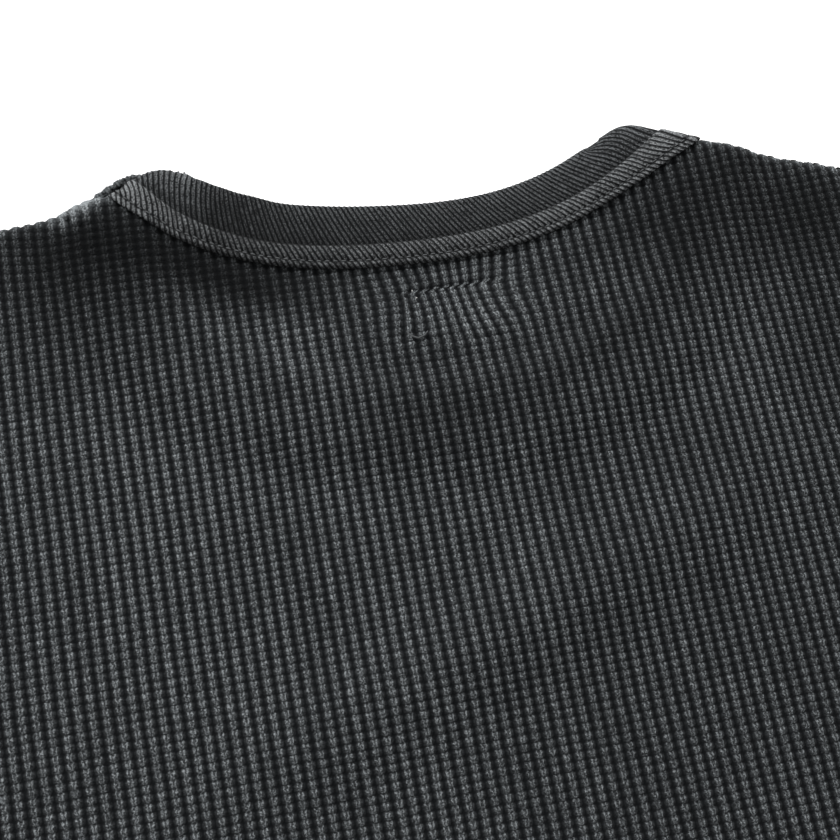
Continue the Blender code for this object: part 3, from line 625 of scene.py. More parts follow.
def knit_layer(boundary, upper, grain, columns=COARSE_COLUMNS, rows=COARSE_ROWS, keep=None, detail=None):
    """An open shell of waffle over one outline.

    boundary is a closed chain of (line, kind), counter-clockwise. keep picks cells by their middles, and
    detail adds the back's own height and its painted light and shade.
    """
    line = joined(*[part for part, _ in boundary])
    kinds = np.concatenate([[kind] * (len(part) - 1) for part, kind in boundary])
    way = np.array([[math.cos(grain), math.sin(grain)], [-math.sin(grain), math.cos(grain)]])
    bounds = (line @ way.T) / (RIB_PITCH, ROW_PITCH)
    low, high = np.floor(bounds.min(0)).astype(int) - 4, np.ceil(bounds.max(0)).astype(int) + 4
    u, v, quads = knit_grid(low, high, columns, rows, way, keep)
    points = knit_plan(u, v, way)
    points = points + uneven(points)
    if detail is not None:
        points = points + label_shift(points)
    inset, out, segment = nearest(points, line)
    inset, out = -inset, -out
    radius = np.maximum((HIGH.at(points)[0] - LOW.at(points)[0]) / 2, LEAST_RADIUS)
    quarter = math.pi / 2 * radius
    kind = kinds[np.clip(segment, 0, len(kinds) - 1)]
    reach = inset + np.where(kind == "fold", quarter - radius, np.where(kind == "hem", HEM_WRAP, 0.0))
    quads = quads[reach[quads].mean(1) > 0]
    snap_rim(points, quads, reach, out, max(RIB_PITCH / len(columns), ROW_PITCH / len(rows)))
    # folded edges
    gap, fold_out = nearest_fold(points)
    gap = np.where(inset > 0, np.abs(gap), gap)
    wrapped = gap + quarter - radius
    rolled = wrapped < quarter
    angle = np.clip(wrapped / radius, 0, math.pi / 2)
    points = points + fold_out * (gap - np.where(rolled, radius * (1 - np.cos(angle)), gap))[:, None]
    lean, rise = np.where(rolled, np.cos(angle), 0), np.where(rolled, np.sin(angle), 1)
    half, turn = turn_hem(points)
    # the layer's middle surface and its outward way
    (low_z, low_slope), (high_z, high_slope) = LOW.at(points), HIGH.at(points)
    sign, slope = (1, high_slope) if upper else (-1, low_slope)
    z = (high_z + low_z) / 2 + sign * radius * rise + (2 if upper else 1) * (half - PANEL_HALF)
    flat = sign * unit(with_z(-slope, 1.0))
    normal = unit(rise[:, None] * flat + lean[:, None] * with_z(fold_out, 0.0))
    outward = normal * np.cos(turn)[:, None] + np.array([0.0, -1.0, 0.0]) * np.sin(turn)[:, None]
    # the knit's relief, lower at folds and seams
    pattern = waffle(u, v, len(rows) > 1)
    relief = pattern if len(rows) > 1 else COARSE_SHARE * pattern
    if upper:
        relief = relief * (1 - FOLD_WEAR[0] * (1 - smooth(gap, 0.0, FOLD_WEAR[1])))
    if detail is not None:
        relief = relief * (1 - NECK_WEAR[0] * bell(nearest(points, BACK_SEAM)[0], NECK_WEAR[1]))
    at_seam = np.where(kind == "butt", 1 - smooth(inset, 0.0, SEAM_WEAR[1]), 0.0)
    relief = relief * (1 - SEAM_WEAR[0] * at_seam)
    height = half + WAFFLE_RELIEF * (relief - WAFFLE_MIDDLE) - SEAM_SINK * at_seam + soft_bend(points) * rise
    fade = np.ones(len(points))
    if detail is not None:
        more, fade = detail(points)
        # painted highlight along the fold's rim and on the crumple: paler tone and a paler pattern
        rim = bell(gap, HIGHLIGHT_RIM_WIDTH) * (rise > 0)
        fade = fade * (1 + 1.5 * rim)
        crumpled = soft_ellipse(points, *CRUMPLE) * bell(gap, CRUMPLE_WIDTH)
        pattern = pattern + (0.9 - pattern) * np.clip(0.55 * rim + 0.9 * crumpled, 0, 1)
        height = height + more
    place = with_z(points, z) + outward * height[:, None]
    for x, width, depth, ahead, lift, layers in PULLS:
        if layers == "both" or (layers == "upper") == upper:
            near = bell(points[:, 0] - x, width) * (1 - smooth(gap, 0, depth)) * (gap < depth)
            place += near[:, None] * (0, ahead, lift)
    i, j = np.floor(u), np.floor(v)
    tone = 0.5 + 0.275 * (2 * chance(i, j, 31) - 1) + 0.225 * (2 * chance(i, 0, 32) - 1)
    if not upper:
        quads = quads[:, ::-1]
    place, quads, u, v, pattern, tone, fade = used_only(place, quads, u, v, pattern, tone, fade)
    bake = np.stack([(u - low[0]) / (high[0] - low[0]), (v - low[1]) / (high[1] - low[1])], -1)
    return place, quads, np.stack([u, v], -1), bake, pattern, tone, fade


def merged(layers):
    """Several layers as one mesh, their unrolled maps side by side."""
    start, columns = 0, [[] for _ in range(7)]
    for number, (place, quads, uv, bake, *rest) in enumerate(layers):
        bake = (bake + (number, 0)) / (len(layers), 1)
        for column, values in zip(columns, (place, quads + start, uv, bake, *rest)):
            column.append(values)
        start += len(place)
    return [np.concatenate(column) for column in columns]


def mirrored(line):
    return line * (-1, 1)


HEM_LINE = np.stack([np.linspace(-HEM_HALF, HEM_HALF, 12), np.full(12, -LENGTH)], -1)


def body_boundary(neck):
    right, left = (
        [(SIDE_SEAM, "fold"), (ARMHOLE, "butt"), (np.linspace(SHOULDER_POINT, point, 8), "fold")]
        for point, _ in NECK_SIDES
    )
    left = [(mirrored(part)[::-1], kind) for part, kind in reversed(left)]
    return [(HEM_LINE, "hem")] + right + [(neck[::-1], "neck")] + left


def sleeve_boundary(side):
    end = np.linspace(CUFF_BOTTOM, CUFF_TOP, 8)
    parts = [(SLEEVE_UNDER, "fold"), (end, "butt"), (SLEEVE_TOP[::-1], "fold"), (ARMHOLE[::-1], "butt")]
    if side < 0:
        parts = [(mirrored(part)[::-1], kind) for part, kind in reversed(parts)]
    return parts


# ---------------------------------------------------------------- the bands round the neck


def cloth(points, upper, height):
    """Points in space, height above the outer side of a layer's middle surface."""
    low, high = front_middle(points), back_middle(points)
    radius = (high - low) / 2
    gap, out = nearest_fold(points)
    lean = np.clip(1 - np.abs(gap) / radius, 0, 1)
    rise = np.sqrt(1 - lean**2)
    sign, field = (1, HIGH) if upper else (-1, LOW)
    flat = sign * unit(with_z(-field.at(points)[1], 1.0))
    normal = rise[..., None] * flat + lean[..., None] * with_z(out, 0.0)
    return with_z(points, (low + high) / 2 + sign * radius * rise) + height[..., None] * unit(normal)


def over_fold(across, neck, row):
    """The places of a band's section along the fold at the side of the neck, from the neck point."""
    line, reach = crest(neck, *row), across * row[-1]
    start = unit(line[1] - line[0])
    return np.where(reach[:, None] > 0, along(line, reach) - neck, reach[:, None] * start)


def band_table(across, height, thin=0.0):
    """A closed table of rings round the neck: back from left to right, then the front from right to left."""
    over_folds = [over_fold(across, *side) for side in NECK_SIDES]
    rings, runs = [], []
    for seam, upper, count in ((BACK_SEAM, True, BACK_RINGS), (FRONT_SEAM[::-1], False, FRONT_RINGS)):
        run = lengths(seam)[-1]
        places = np.linspace(0, run, count)
        points = along(seam, places)
        normal = nearest(points, seam)[1]
        inward = (normal if upper else -normal)[:, None]
        square = smooth(np.minimum(places, run - places), 0, CREST_BLEND)[:, None, None]
        turned = np.where(points[:, :1, None] < 0, over_folds[1] * (-1, 1), over_folds[0])
        past = np.clip(across - BINDING_HALF_WIDTH, 0, None) / (COLLAR_WIDTH - BINDING_HALF_WIDTH)
        loss = COLLAR_TAPER[0] * smooth(points[:, 0], *COLLAR_TAPER[1:]) * upper
        level = (across - loss[:, None] * past)[..., None]
        plan = points[:, None] + square * level * inward + (1 - square) * turned
        raised = height - (1 - square[..., 0]) * BINDING_THINNING * thin
        rings.append(cloth(plan, upper, np.broadcast_to(raised, plan.shape[:2])))
        runs.append(places)
    back, front = rings
    for a, b in ((back[-1], front[0]), (back[0], front[-1])):
        a[:] = b[:] = (a + b) / 2
    return np.concatenate([back, front[1:]]), np.concatenate([runs[0], runs[0][-1] + runs[1][1:]])


def sample(table, run, seam_at, section_at):
    """The table's points at places along the seam and places in the section, counted in its points."""
    seam_at = np.mod(seam_at, run[-1])
    i = np.clip(np.searchsorted(run, seam_at, side="right") - 1, 0, len(run) - 2)
    j = np.clip(np.floor(section_at).astype(int), 0, table.shape[1] - 2)
    past = (seam_at - run[i]) / (run[i + 1] - run[i])
    return blended(lambda i, j: table[i, j], i, j, past[..., None], (section_at - j)[..., None])


def seam_place(knit, across, run):
    """Where along the seam a ring line stands that meets the knit's own place at this distance across."""
    total, back = run[-1], run[BACK_RINGS - 1]
    places = np.linspace(0, total, 3000)
    left = 1 - smooth(np.minimum(places, total - places), 0, CREST_BLEND)
    right = 1 - smooth(np.abs(places - back), 0, CREST_BLEND)
    own = places + across * (CREST_SHEAR[0] * left - CREST_SHEAR[1] * right)
    turns = np.floor((knit - own[0]) / total)
    return np.interp(knit - turns * total, own, places) + turns * total


def rib_mesh(name, points, cu, arc, count, relief, seed, fade=None, flip=False):
    """A ribbed tube from its rows of points: cu is each row's place in ribs, and arc the run along a row."""
    quads = closed_faces(relief.shape, 0)
    if flip:
        quads = quads[:, ::-1]
    uv = np.stack(np.broadcast_arrays(cu[:, None], arc / RIB_ROW), -1).reshape(-1, 2)
    corners = uv[quads]
    around = corners[..., 0]
    closing = np.ptp(around, 1)[:, None] > count / 2
    around[closing & (around < count / 2)] += count
    bake = corners / (count + 1, arc[-1] / RIB_ROW)
    tone = chance(np.floor(uv[:, 0]), np.floor(uv[:, 1] / 3), seed)
    return make_mesh(name, points.reshape(-1, 3), quads, corners, bake, relief.reshape(-1), tone, fade)


def band_mesh(name, table, run, places, across, share, columns, lean, relief_of, painted_light_of, faces_out=1):
    """A ribbed band. Its mesh lines have places in the table, distances across and shares of the relief."""
    total, back_run = run[-1], run[BACK_RINGS - 1]
    count = int(round(total / COLLAR_PITCH))
    cu = (np.arange(count)[:, None] + np.array(columns)).ravel()
    arc = lengths(sample(table, run, 0.3 * total + 0 * places, places))
    knit = cu[:, None] / count * total + (arc - arc[np.abs(across).argmin()]) * lean
    seam_at = np.stack([seam_place(knit[:, k], across[k], run) for k in range(len(across))], 1)
    places = np.broadcast_to(places, seam_at.shape)
    base = sample(table, run, seam_at, places)
    nudge = total / count * 0.3
    ahead = sample(table, run, seam_at + nudge, places) - sample(table, run, seam_at - nudge, places)
    before, after = np.maximum(places - 0.35, 0), np.minimum(places + 0.35, table.shape[1] - 1)
    aside = sample(table, run, seam_at, after) - sample(table, run, seam_at, before)
    normal = faces_out * unit(np.cross(ahead, aside))
    relief = relief_of(cu[:, None], across)
    turn = np.mod(seam_at, total)
    from_fold = np.minimum(np.minimum(turn, total - turn), np.abs(turn - back_run))
    flatter = 1 - 0.9 * smooth(base[..., 1], -0.004, 0.003)
    raised = relief * share * flatter + 0.36 * bell(from_fold, 0.007)
    points = base + normal * (COLLAR_RELIEF * (raised - RELIEF_MIDDLE))[..., None]
    # painted light and shade across the band and round the neck
    fade = painted_light_of(across) * np.interp(turn / back_run, *BAND_PAINTED_SHADING)
    return rib_mesh(name, points, cu, arc, count, relief, 41, fade.reshape(-1), faces_out < 0)


def rib_relief(cu, across):
    """Rounded ribs, some a little higher than others."""
    a = cu - np.floor(cu) - 0.5
    ribs = (1 - smooth(np.abs(a), 0.24, 0.48)) * (0.92 + 0.16 * chance(np.floor(cu), 0, 51))
    return ribs + 0 * across


def strip_relief(cu, across):
    """The binding's ribs, pressed down in its groove."""
    groove = bell(across + 0.42 * BINDING_HALF_WIDTH, 0.0005)
    return rib_relief(cu, across) * (1 - 0.75 * groove)


def collar_painted_light(across):
    """The collar is painted darkest beside the binding, as the binding's shade, and palest along its free
    edge, as painted highlight where the light falls.
    """
    return 0.46 + 0.38 * smooth(across, 0.0042, 0.0095) + 0.72 * smooth(across, 0.0120, 0.0188)


def strip_painted_light(across):
    """The binding is painted palest on its outer ridge and at its lower edge, as painted highlights where the
    light falls on them.
    """
    return 0.66 + 0.42 * bell(across - 0.0012, 0.0030) + 0.32 * bell(across + 0.0030, 0.0010)


def add_collar():
    """The doubled rib: across its upper layer, round its edge and back below."""
    flat = np.concatenate([np.linspace(0.00015, 0.0160, 16), [0.0171, COLLAR_WIDTH - RIB_HALF]])
    last = len(flat) - 1
    turns = np.radians([60, 30, 0, -30, -60])
    across = np.concatenate([flat, COLLAR_WIDTH - RIB_HALF * (1 - np.cos(turns)), flat[::-1]])
    height = RIB_HALF * np.concatenate([1 + 0 * flat, np.sin(turns), 0 * flat - 1])
    table, run = band_table(across, height)
    for x, width, ahead in COLLAR_EASES:
        near = bell(table[:BACK_RINGS, :, 0] - x, width) * smooth(across, 0.0, 0.010)
        table[:BACK_RINGS, :, 1] += ahead * near
    edge, below = np.linspace(0.5, 6, 12), 6 + np.linspace(0, last, 6)[1:]
    places = np.concatenate([np.arange(last + 1), last + edge, last + below])
    across = np.interp(places, np.arange(len(across)), across)
    share = 1 - 0.5 * smooth(across, COLLAR_WIDTH - 0.0030, COLLAR_WIDTH - 0.0008)
    lines = (places, across, share, COLLAR_LINES, COLLAR_LEAN)
    return band_mesh("collar_rib", table, run, *lines, rib_relief, collar_painted_light, -1), run


# The binding's section, in shares of its half width and thickness, and where its groove is among the points
BINDING_PROFILE = (
    (1.02, -0.25), (1.00, 0.10), (0.93, 0.55), (0.80, 0.85), (0.55, 1.00), (0.25, 0.99), (-0.02, 0.90),
    (-0.26, 0.68), (-0.38, 0.42), (-0.47, 0.44), (-0.60, 0.70), (-0.76, 0.76), (-0.90, 0.62), (-1.00, 0.30),
    (-1.03, -0.10), (-0.98, -0.45),
)
GROOVE_PLACE = 8.5


def add_binding():
    """The rib strip over the neck's seam, its edges turned under."""
    across, thin = np.transpose(BINDING_PROFILE) * ((BINDING_HALF_WIDTH,), (BINDING_THICKNESS,))
    table, run = band_table(across, RIB_HALF + BINDING_LIFT + thin, thin)
    lines = (np.arange(len(across)), across, 1.0, BAND_LINES, -COLLAR_LEAN)
    return band_mesh("neck_binding_rib", table, run, *lines, strip_relief, strip_painted_light), table, run


def tapered(radius, end, steps):
    """Radii of a roll with rounded ends."""
    return radius * np.sqrt(1 - np.linspace(-end, end, steps) ** 4)


def add_threads(name, paths, radius, material, sides=5):
    """Short rounded lengths of thread. paths holds one row of points for each."""
    paths = np.asarray(paths, float)
    count, steps = paths.shape[:2]
    way = unit(np.gradient(paths, axis=1))
    side = unit(np.cross(way, (0.0, 0.0, 1.0)))
    up = np.cross(side, way)
    angle = np.arange(sides) * 2 * math.pi / sides
    ring = side[:, :, None] * np.cos(angle)[:, None] + up[:, :, None] * np.sin(angle)[:, None]
    points = paths[:, :, None] + ring * tapered(radius, 0.96, steps)[None, :, None, None]
    shape = (count, steps, sides)
    share = np.broadcast_to(np.linspace(0, 1, steps)[None, :, None], shape).reshape(-1)
    each = np.broadcast_to(np.arange(count)[:, None, None], shape).reshape(-1) / count
    maps = np.stack([share, 0 * share], -1), np.stack([share, each], -1)
    obj = make_mesh(name, points.reshape(-1, 3), closed_faces(shape, 2), *maps, 1 + 0 * share, each)
    return declare(obj, material)


def top_of_back(plan, height):
    """Points on the back's outer side."""
    return with_z(plan, HIGH.at(plan)[0] + PANEL_HALF + height)


def binding_threads(table, run):
    """The topstitching in the binding's groove."""
    count = int(run[-1] / NECK_STITCH)
    places = (np.arange(count)[:, None] + np.linspace(0.16, 0.74, 6)) / count * run[-1]
    at = sample(table, run, places, np.full(places.shape, GROOVE_PLACE))
    arch = 0.00024 * np.sin(np.linspace(0, math.pi, 6))
    return at + np.array([0, 0, 1.0]) * (arch[:, None] + 0.00010)


def label_loop():
    """The end of the label's seam, a loop of yarn on the cloth."""
    line = np.array(LABEL_LOOP)
    return [top_of_back(along(line, np.linspace(0, lengths(line)[-1], 14)), 0.0008)]


def label_threads():
    """Two pale ends of thread where the label's stitches start."""
    t = np.linspace(-1, 1, 5)[:, None]
    return [top_of_back(np.array(middle) + t * np.array(way), 0.0007) for middle, way in LABEL_ENDS]


def hem_threads():
    """Two rows of coverstitch round the hem of both panels."""
    paths = []
    count = int(2 * HEM_HALF / HEM_STITCH)
    across = -HEM_HALF + 0.003 + (np.arange(count)[:, None] + np.linspace(0.08, 0.9, 4)) * HEM_STITCH
    for above in HEM_ROWS:
        plan = np.stack([across, np.full(across.shape, above - LENGTH)], -1)
        paths += [top_of_back(plan, 0.0018), with_z(plan, -0.00035)]
    return np.concatenate(paths)


# The front shoulder seam's end, a dark roll behind it painted as the shadow in the gap, and the crumple
# there: name, line, radius, height, and the brightness painted on it as light and shade
SEAM_ENDS = (
    (
        "seam_end",
        ((-0.1108, -0.0036), (-0.1062, -0.0003), (-0.1018, 0.0028), (-0.0970, 0.0054), (-0.0915, 0.0066)),
        0.0011, 0.0046, 1.8,
    ),
    (
        "seam_shadow_roll",
        ((-0.1100, -0.0044), (-0.1060, -0.0014), (-0.1018, 0.0014), (-0.0975, 0.0040), (-0.0925, 0.0054)),
        0.0018, 0.0032, 0.10,
    ),
    (
        "seam_crumple",
        ((-0.1176, -0.0078), (-0.1150, -0.0064), (-0.1125, -0.0056), (-0.1099, -0.0052), (-0.1076, -0.0044)),
        0.0012, 0.0078, 4.0,
    ),
)


def add_seam_end(name, line, radius, level, shade):
    """A rough roll at the left of the neck that shows past the fold. shade scales its colour: painted
    highlight on the pale rolls, painted shadow on the dark one.
    """
    line = np.array(line)
    steps, sides = 56, 16
    places = np.linspace(0, lengths(line)[-1], steps)
    plan = along(line, places)
    way = unit(np.gradient(plan, axis=0))
    side = np.stack([-way[:, 1], way[:, 0]], -1)
    places, angle = np.meshgrid(places, np.arange(sides) * 2 * math.pi / sides, indexing="ij")
    rough = 1 + 0.65 * lattice_noise(places / 0.0008, angle * 1.6, 71)
    reach = tapered(radius, 0.98, steps)[:, None] * rough
    flat = plan[:, None] + side[:, None] * (reach * np.cos(angle))[..., None]
    points = with_z(flat, level + reach * np.sin(angle) * 0.95).reshape(-1, 3)
    index = np.arange(steps * sides).reshape(steps, sides)
    following = np.roll(index, -1, 1)
    quads = np.stack([index[:-1], index[1:], following[1:], following[:-1]], -1).reshape(-1, 4)
    uv = np.stack([places / 0.0011, angle / math.pi * 3], -1).reshape(-1, 2)
    bake = uv / (uv[:, 0].max() + 1, 7)
    worn = rough.reshape(-1)
    obj = make_mesh(name, points, quads, uv, bake, worn * 0.8, worn * 0.6, np.full(len(points), shade))
    declare(obj, WAFFLE)


# ---------------------------------------------------------------- cuffs


def add_cuff(name, side):
    """A ribbed tube that stands out of the sleeve's end."""
    low, high = RIB_HALF, 3 * RIB_HALF + LAYER_GAP
    radius, centre = (high - low) / 2, (high + low) / 2
    start = np.array(CUFF_TOP) - CUFF_HIDDEN * SLEEVE_WAY - CUFF_INSET * SLEEVE_SIDE
    # the middle of its wall round the wrist: distance across, height, and the way out in both
    halves = []
    for shift, out in ((0.0, 1), (-CUFF_WIDTH, -1)):
        angle = out * np.radians(np.linspace(90, -90, 9))
        across = shift + out * radius * (np.cos(angle) - 1)
        lean, rise = np.cos(angle), np.sin(angle)
        halves.append(np.stack([across, centre + radius * rise, out * lean, rise], -1))
    ring = np.concatenate([*halves, halves[0][:1]])
    arc = lengths(ring[:, :2])
    count = int(round(arc[-1] / COLLAR_PITCH))
    cu = (np.arange(count)[:, None] + np.array(BAND_LINES)).ravel()
    across, level, lean, rise = (np.interp(cu / count * arc[-1], arc, part)[:, None] for part in ring.T)
    # its section along the sleeve: the outside, round the end and a little of the inside
    reach = CUFF_LENGTH + CUFF_HIDDEN - RIB_HALF
    turns = np.radians([30, 60, 90])
    inside = [reach - 0.004, reach + RIB_HALF - 0.012]
    ways = np.concatenate([np.linspace(0, reach, 12), reach + RIB_HALF * np.sin(turns), inside])
    lift = RIB_HALF * np.concatenate([np.ones(12), np.cos(turns), [-1, -1]])
    relief = 1 - smooth(np.abs(cu - np.floor(cu) - 0.5), 0.24, 0.47)[:, None] + 0 * ways
    off = lift + COLLAR_RELIEF * (relief - RELIEF_MIDDLE) * np.sign(lift + 1e-9)
    plan = start + ways[:, None] * SLEEVE_WAY + (across + lean * off)[..., None] * SLEEVE_SIDE
    points = with_z(plan * (side, 1), level + rise * off)
    return rib_mesh(name, points, cu, lengths(np.stack([ways, lift], -1)), count, relief, 42, flip=side < 0)


# ---------------------------------------------------------------- materials


BUMP_DEPTH = 0.00050
CLOTH_FINISH = {"Roughness": 0.93, "Specular IOR Level": 0.04, "Sheen Weight": 0.03, "Sheen Roughness": 0.6}
LIT_LIMIT = 2.4  # how far past the pale colour a place brightened by wear and painted light may be


class Shader:
    """A short way to wire a material's nodes."""

    def __init__(self, name, colour):
        self.material = bpy.data.materials.new(name)
        self.material.use_nodes = True
        self.material.diffuse_color = (*colour, 1)
        self.tree = self.material.node_tree
        self.principled = self.tree.nodes["Principled BSDF"]

    def link(self, value, socket):
        if isinstance(value, bpy.types.NodeSocket):
            self.tree.links.new(value, socket)
        else:
            socket.default_value = (*value, 1) if isinstance(value, tuple) else value

    def add(self, kind, output, inputs, **settings):
        """A new node's output. inputs holds values or other outputs for its sockets."""
        node = self.tree.nodes.new("ShaderNode" + kind)
        for name, value in settings.items():
            setattr(node, name, value)
        for name, value in inputs.items():
            self.link(value, node.inputs[name])
        return node.outputs[output]

    def math(self, operation, *values):
        return self.add("Math", 0, dict(enumerate(values)), operation=operation)

    def ramp(self, value, low, high, to_low=0.0, to_high=1.0):
        inputs = {"Value": value, "From Min": low, "From Max": high, "To Min": to_low, "To Max": to_high}
        return self.add("MapRange", "Result", inputs, interpolation_type="SMOOTHSTEP")

    def attribute(self, name):
        return self.add("Attribute", "Fac", {}, attribute_name=name)

    def uv(self, name):
        across = self.add("SeparateXYZ", 0, {0: self.add("UVMap", 0, {}, uv_map=name)})
        return across, across.node.outputs[1]

    def noise(self, scale, detail, roughness):
        inputs = {"Scale": scale, "Detail": detail, "Roughness": roughness}
        return self.add("TexNoise", "Fac", {"Vector": self.add("TexCoord", "Object", {}), **inputs})

    def mix(self, factor, first, second):
        inputs = {"Factor": factor, "A": first, "B": second}
        return self.add("Mix", "Result", inputs, data_type="RGBA", clamp_factor=False)

    def finish(self, colour, height):
        bump = self.add("Bump", "Normal", {"Strength": 1.0, "Distance": BUMP_DEPTH, "Height": height})
        for name, value in {"Base Color": colour, "Normal": bump, **CLOTH_FINISH}.items():
            self.link(value, self.principled.inputs[name])
        return self.material


def knit_material(name, shaded_gap, pale, legs, shade, wear):
    """Cloth whose gaps are dark and whose raised faces are pale, with small V-shaped stitches. The gaps' dark
    colour is partly the dye's wear on the raised faces and partly painted shade in the hollows.

    legs are a stitch's half spread, its growth over the stitch and its yarn's width. shade is the relief over
    which the gaps' colour turns to pale, and wear the range of the patchy tone.
    """
    s = Shader(name, pale)
    u, v = s.uv("Grain")
    fuzz = s.noise(1600.0, 3.0, 0.60)
    drift = s.math("MULTIPLY", s.math("SUBTRACT", s.noise(1200.0, 2.0, 0.5), 0.5), 0.42)
    # the stitches
    across = s.math("SUBTRACT", s.math("FRACT", s.math("ADD", u, drift)), 0.5)
    row = s.math("FRACT", s.math("ADD", v, drift))
    near, spread, width = legs
    off = s.math("SUBTRACT", s.math("ABSOLUTE", across), s.math("MULTIPLY_ADD", row, spread, near))
    leg = s.ramp(s.math("ABSOLUTE", off), width, 0.0)
    # the lumps, whose notches are drawn where the mesh has none
    drawn = s.attribute("drawn")
    notch = s.ramp(s.math("ABSOLUTE", s.math("SUBTRACT", s.math("FRACT", v), 0.5)), *NOTCH_RAMP, 0.0, NOTCH)
    left = s.math("SUBTRACT", 1.0, s.math("MULTIPLY", notch, drawn))
    face = s.ramp(s.math("MULTIPLY", s.attribute("relief"), left), *shade)
    # how pale each place is, with its painted light and shade
    fade = s.attribute("fade")
    parts = (
        s.math("MULTIPLY_ADD", s.attribute("tone"), 0.46, 0.77),
        # bright specks on the fibres, painted glints
        s.ramp(s.noise(2700.0, 1.0, 0.5), 0.58, 0.76, 0.94, 2.2),
        fade,
        s.ramp(fuzz, 0.30, 0.70, *wear),
        s.math("MULTIPLY_ADD", s.noise(28.0, 3.0, 0.55), 0.50, 0.75),
        face,
    )
    lit = s.math("MULTIPLY_ADD", leg, 1.10, 0.30)
    for part in parts:
        lit = s.math("MULTIPLY", lit, part)
    # the gaps' colour, darker still where painted shade falls
    shadow = s.mix(s.math("MINIMUM", fade, 1.0), tuple(0.45 * part for part in shaded_gap), shaded_gap)
    colour = s.mix(s.math("MINIMUM", lit, LIT_LIMIT), shadow, pale)
    height = s.math("MULTIPLY_ADD", s.math("MULTIPLY", leg, face), 0.6, s.math("MULTIPLY", fuzz, 0.55))
    return s.finish(colour, s.math("MULTIPLY_ADD", s.math("MULTIPLY", face, drawn), 0.9, height))


def plain_material(name, colour):
    material = bpy.data.materials.new(name)
    material.use_nodes = True
    shader = material.node_tree.nodes["Principled BSDF"]
    shader.inputs["Base Color"].default_value = (*colour, 1)
    shader.inputs["Roughness"].default_value = 0.9
    return material


# ---------------------------------------------------------------- put together

SHIFT = Vector((0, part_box("back")[0][1] + LENGTH, 0))  # from the neck's middle to the frame's origin

# The camera, measured from the knit's perspective, about the neck's middle
LENS = 56.9
SENSOR = 36.0
CAMERA_PLACE = (-0.06784, -0.20198, 0.40642)
CAMERA_RIGHT = (0.98402, -0.15155, 0.09350)
CAMERA_UP = (0.11973, 0.95174, 0.28257)
CAMERA_FORWARD = (0.13181, 0.26686, -0.95468)
CAMERA_ROLL = math.radians(0.25)
CLOTH_TOP = 0.005  # the height of the knit that was measured
CLOTH_DISTANCE = 0.42
VIEW_MARGIN = 0.008  # how far the fine mesh reaches past the picture, at that distance

FLOOR_LEVEL = -0.0010  # just below the front's ribs
FLOOR_HALF = 40.0


def in_view(points):
    """Plan places that the camera shows, with a margin."""
    place = with_z(points, 0.0) - CAMERA_PLACE
    limit = (SENSOR / 2 / LENS + VIEW_MARGIN / CLOTH_DISTANCE) * (place @ CAMERA_FORWARD)
    return (np.abs(place @ CAMERA_RIGHT) < limit) & (np.abs(place @ CAMERA_UP) < limit)


def beyond_view(points):
    """The other places of a grid, and the outermost row of those in view, so that the two meshes overlap."""
    shown = in_view(points)
    inner = shown.copy()
    inner[1:-1, 1:-1] &= shown[:-2, 1:-1] & shown[2:, 1:-1] & shown[1:-1, :-2] & shown[1:-1, 2:]
    return ~inner


def declare(obj, material, node=None):
    """Gives a piece its material and place, and tells the frame what it is."""
    obj.data.materials.append(material)
    obj.location = SHIFT
    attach(obj, "root")
    if node:
        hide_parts(node)
    return obj


def add_panel(name, data, node, drawn=1.0):
    declare(make_mesh(name, *data, drawn=drawn), WAFFLE, node)


WAFFLE_LEGS = (0.075, 0.115, 0.13)
RIB_LEGS = (0.07, 0.10, 0.12)
# Each: name, the gaps' colour (painted shade and dye), the raised faces' pale colour, legs, shade ramp, wear
# range
CLOTHS = (
    ("waffle", (0.0054, 0.0061, 0.0069), (0.1170, 0.1262, 0.1315), WAFFLE_LEGS, (0.08, 0.98), (0.28, 1.85)),
    ("rib", (0.0049, 0.0054, 0.0058), (0.0920, 0.0970, 0.1012), RIB_LEGS, (0.20, 1.0), (0.0, 2.20)),
    ("binding", (0.0058, 0.0062, 0.0066), (0.160, 0.167, 0.172), RIB_LEGS, (0.16, 1.0), (0.05, 2.10)),
)
WAFFLE, RIB, STRIP = (knit_material(name + "_cloth", *look) for name, *look in CLOTHS)
THREAD = plain_material("thread", (0.125, 0.131, 0.136))
LOOP = plain_material("loop_thread", (0.070, 0.074, 0.077))
PALE_THREAD = plain_material("pale_thread", (0.62, 0.62, 0.60))


def add_body():
    back = body_boundary(BACK_SEAM)
    fine = knit_layer(back, True, BODY_GRAIN, RIB_COLUMNS, ROW_LINES, in_view, body_detail)
    coarse = knit_layer(back, True, BODY_GRAIN, keep=beyond_view, detail=body_detail)
    front = knit_layer(body_boundary(FRONT_SEAM), False, BODY_GRAIN / 2)
    add_panel("back_upper", fine, "back", drawn=0.0)
    add_panel("back_lower", coarse, "back")
    add_panel("front_panel", front, "front")


def add_sleeves():
    for name, side in (("right", 1), ("left", -1)):
        grain = side * (SLEEVE_HEADING + math.pi / 2)
        layers = [knit_layer(sleeve_boundary(side), upper, grain) for upper in (True, False)]
        add_panel("sleeve_" + name + "_cloth", merged(layers), "sleeve_" + name)
        cuff = add_cuff("cuff_" + name + "_rib", side)
        declare(cuff, RIB, "cuff_" + name)


def add_neck():
    collar, run = add_collar()
    declare(collar, RIB, "collar")
    strip, table, run = add_binding()
    stitches = add_threads("binding_stitches", binding_threads(table, run), 0.00019, THREAD)
    declare(strip, STRIP, "neck_binding")


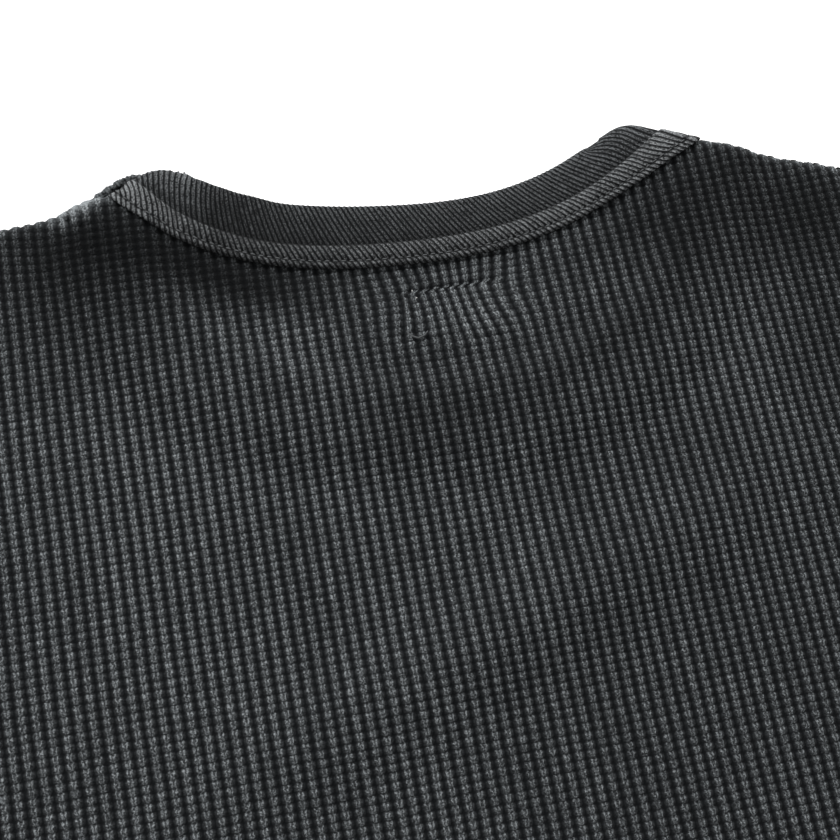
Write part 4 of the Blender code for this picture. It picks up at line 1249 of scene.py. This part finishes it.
def add_stitches():
    add_threads("hem_stitches", hem_threads(), 0.00022, THREAD, 4)
    for row in SEAM_ENDS:
        add_seam_end(*row)
    add_threads("label_thread_ends", label_threads(), 0.00018, PALE_THREAD)
    add_threads("label_loop", label_loop(), 0.00034, LOOP, 7)


def add_floor():
    mesh = bpy.data.meshes.new("floor")
    corners = [(x * FLOOR_HALF, y * FLOOR_HALF, 0) for x, y in ((-1, -1), (1, -1), (1, 1), (-1, 1))]
    mesh.from_pydata(corners, [], [(0, 1, 2, 3)])
    floor = new_object("floor", mesh)
    floor.location.z = FLOOR_LEVEL
    material = plain_material("floor", (0.92, 0.92, 0.92))
    shader = material.node_tree.nodes["Principled BSDF"]
    shader.inputs["Emission Color"].default_value = (1, 1, 1, 1)
    shader.inputs["Emission Strength"].default_value = 0.5
    mesh.materials.append(material)


def add_light(name, place, target, size, power):
    data = bpy.data.lights.new(name, "AREA")
    data.shape = "DISK"
    data.size = size
    data.energy = power
    light = new_object(name, data)
    light.location = place
    light.rotation_mode = "QUATERNION"
    light.rotation_quaternion = (Vector(target) - Vector(place)).to_track_quat("-Z", "Y")


def add_camera():
    data = bpy.data.cameras.new("camera")
    data.lens = LENS
    data.sensor_width = SENSOR
    data.clip_start = 0.01
    camera = new_object("camera", data)
    turn = Matrix((CAMERA_RIGHT, CAMERA_UP, tuple(-x for x in CAMERA_FORWARD))).transposed()
    turn = turn @ Matrix.Rotation(CAMERA_ROLL, 3, "Z")
    camera.rotation_mode = "QUATERNION"
    camera.rotation_quaternion = turn.to_quaternion()
    camera.location = Vector(CAMERA_PLACE) + SHIFT + Vector((0, 0, CLOTH_TOP))
    bpy.context.scene.camera = camera


def add_lights():
    world = bpy.data.worlds.new("studio")
    world.use_nodes = True
    background = world.node_tree.nodes["Background"]
    background.inputs["Color"].default_value = (1, 1, 1, 1)
    background.inputs["Strength"].default_value = 0.28
    bpy.context.scene.world = world
    add_light("top", (-0.35, 1.75, 0.95), (0, 0.2, 0), 0.9, 40.0)
    add_light("over", (-0.5, 0.0, 1.8), (0, 0.2, 0), 1.2, 8.0)
    bpy.context.scene.view_settings.view_transform = "Standard"


add_body()
add_sleeves()
add_neck()
add_stitches()
add_floor()
add_camera()
add_lights()
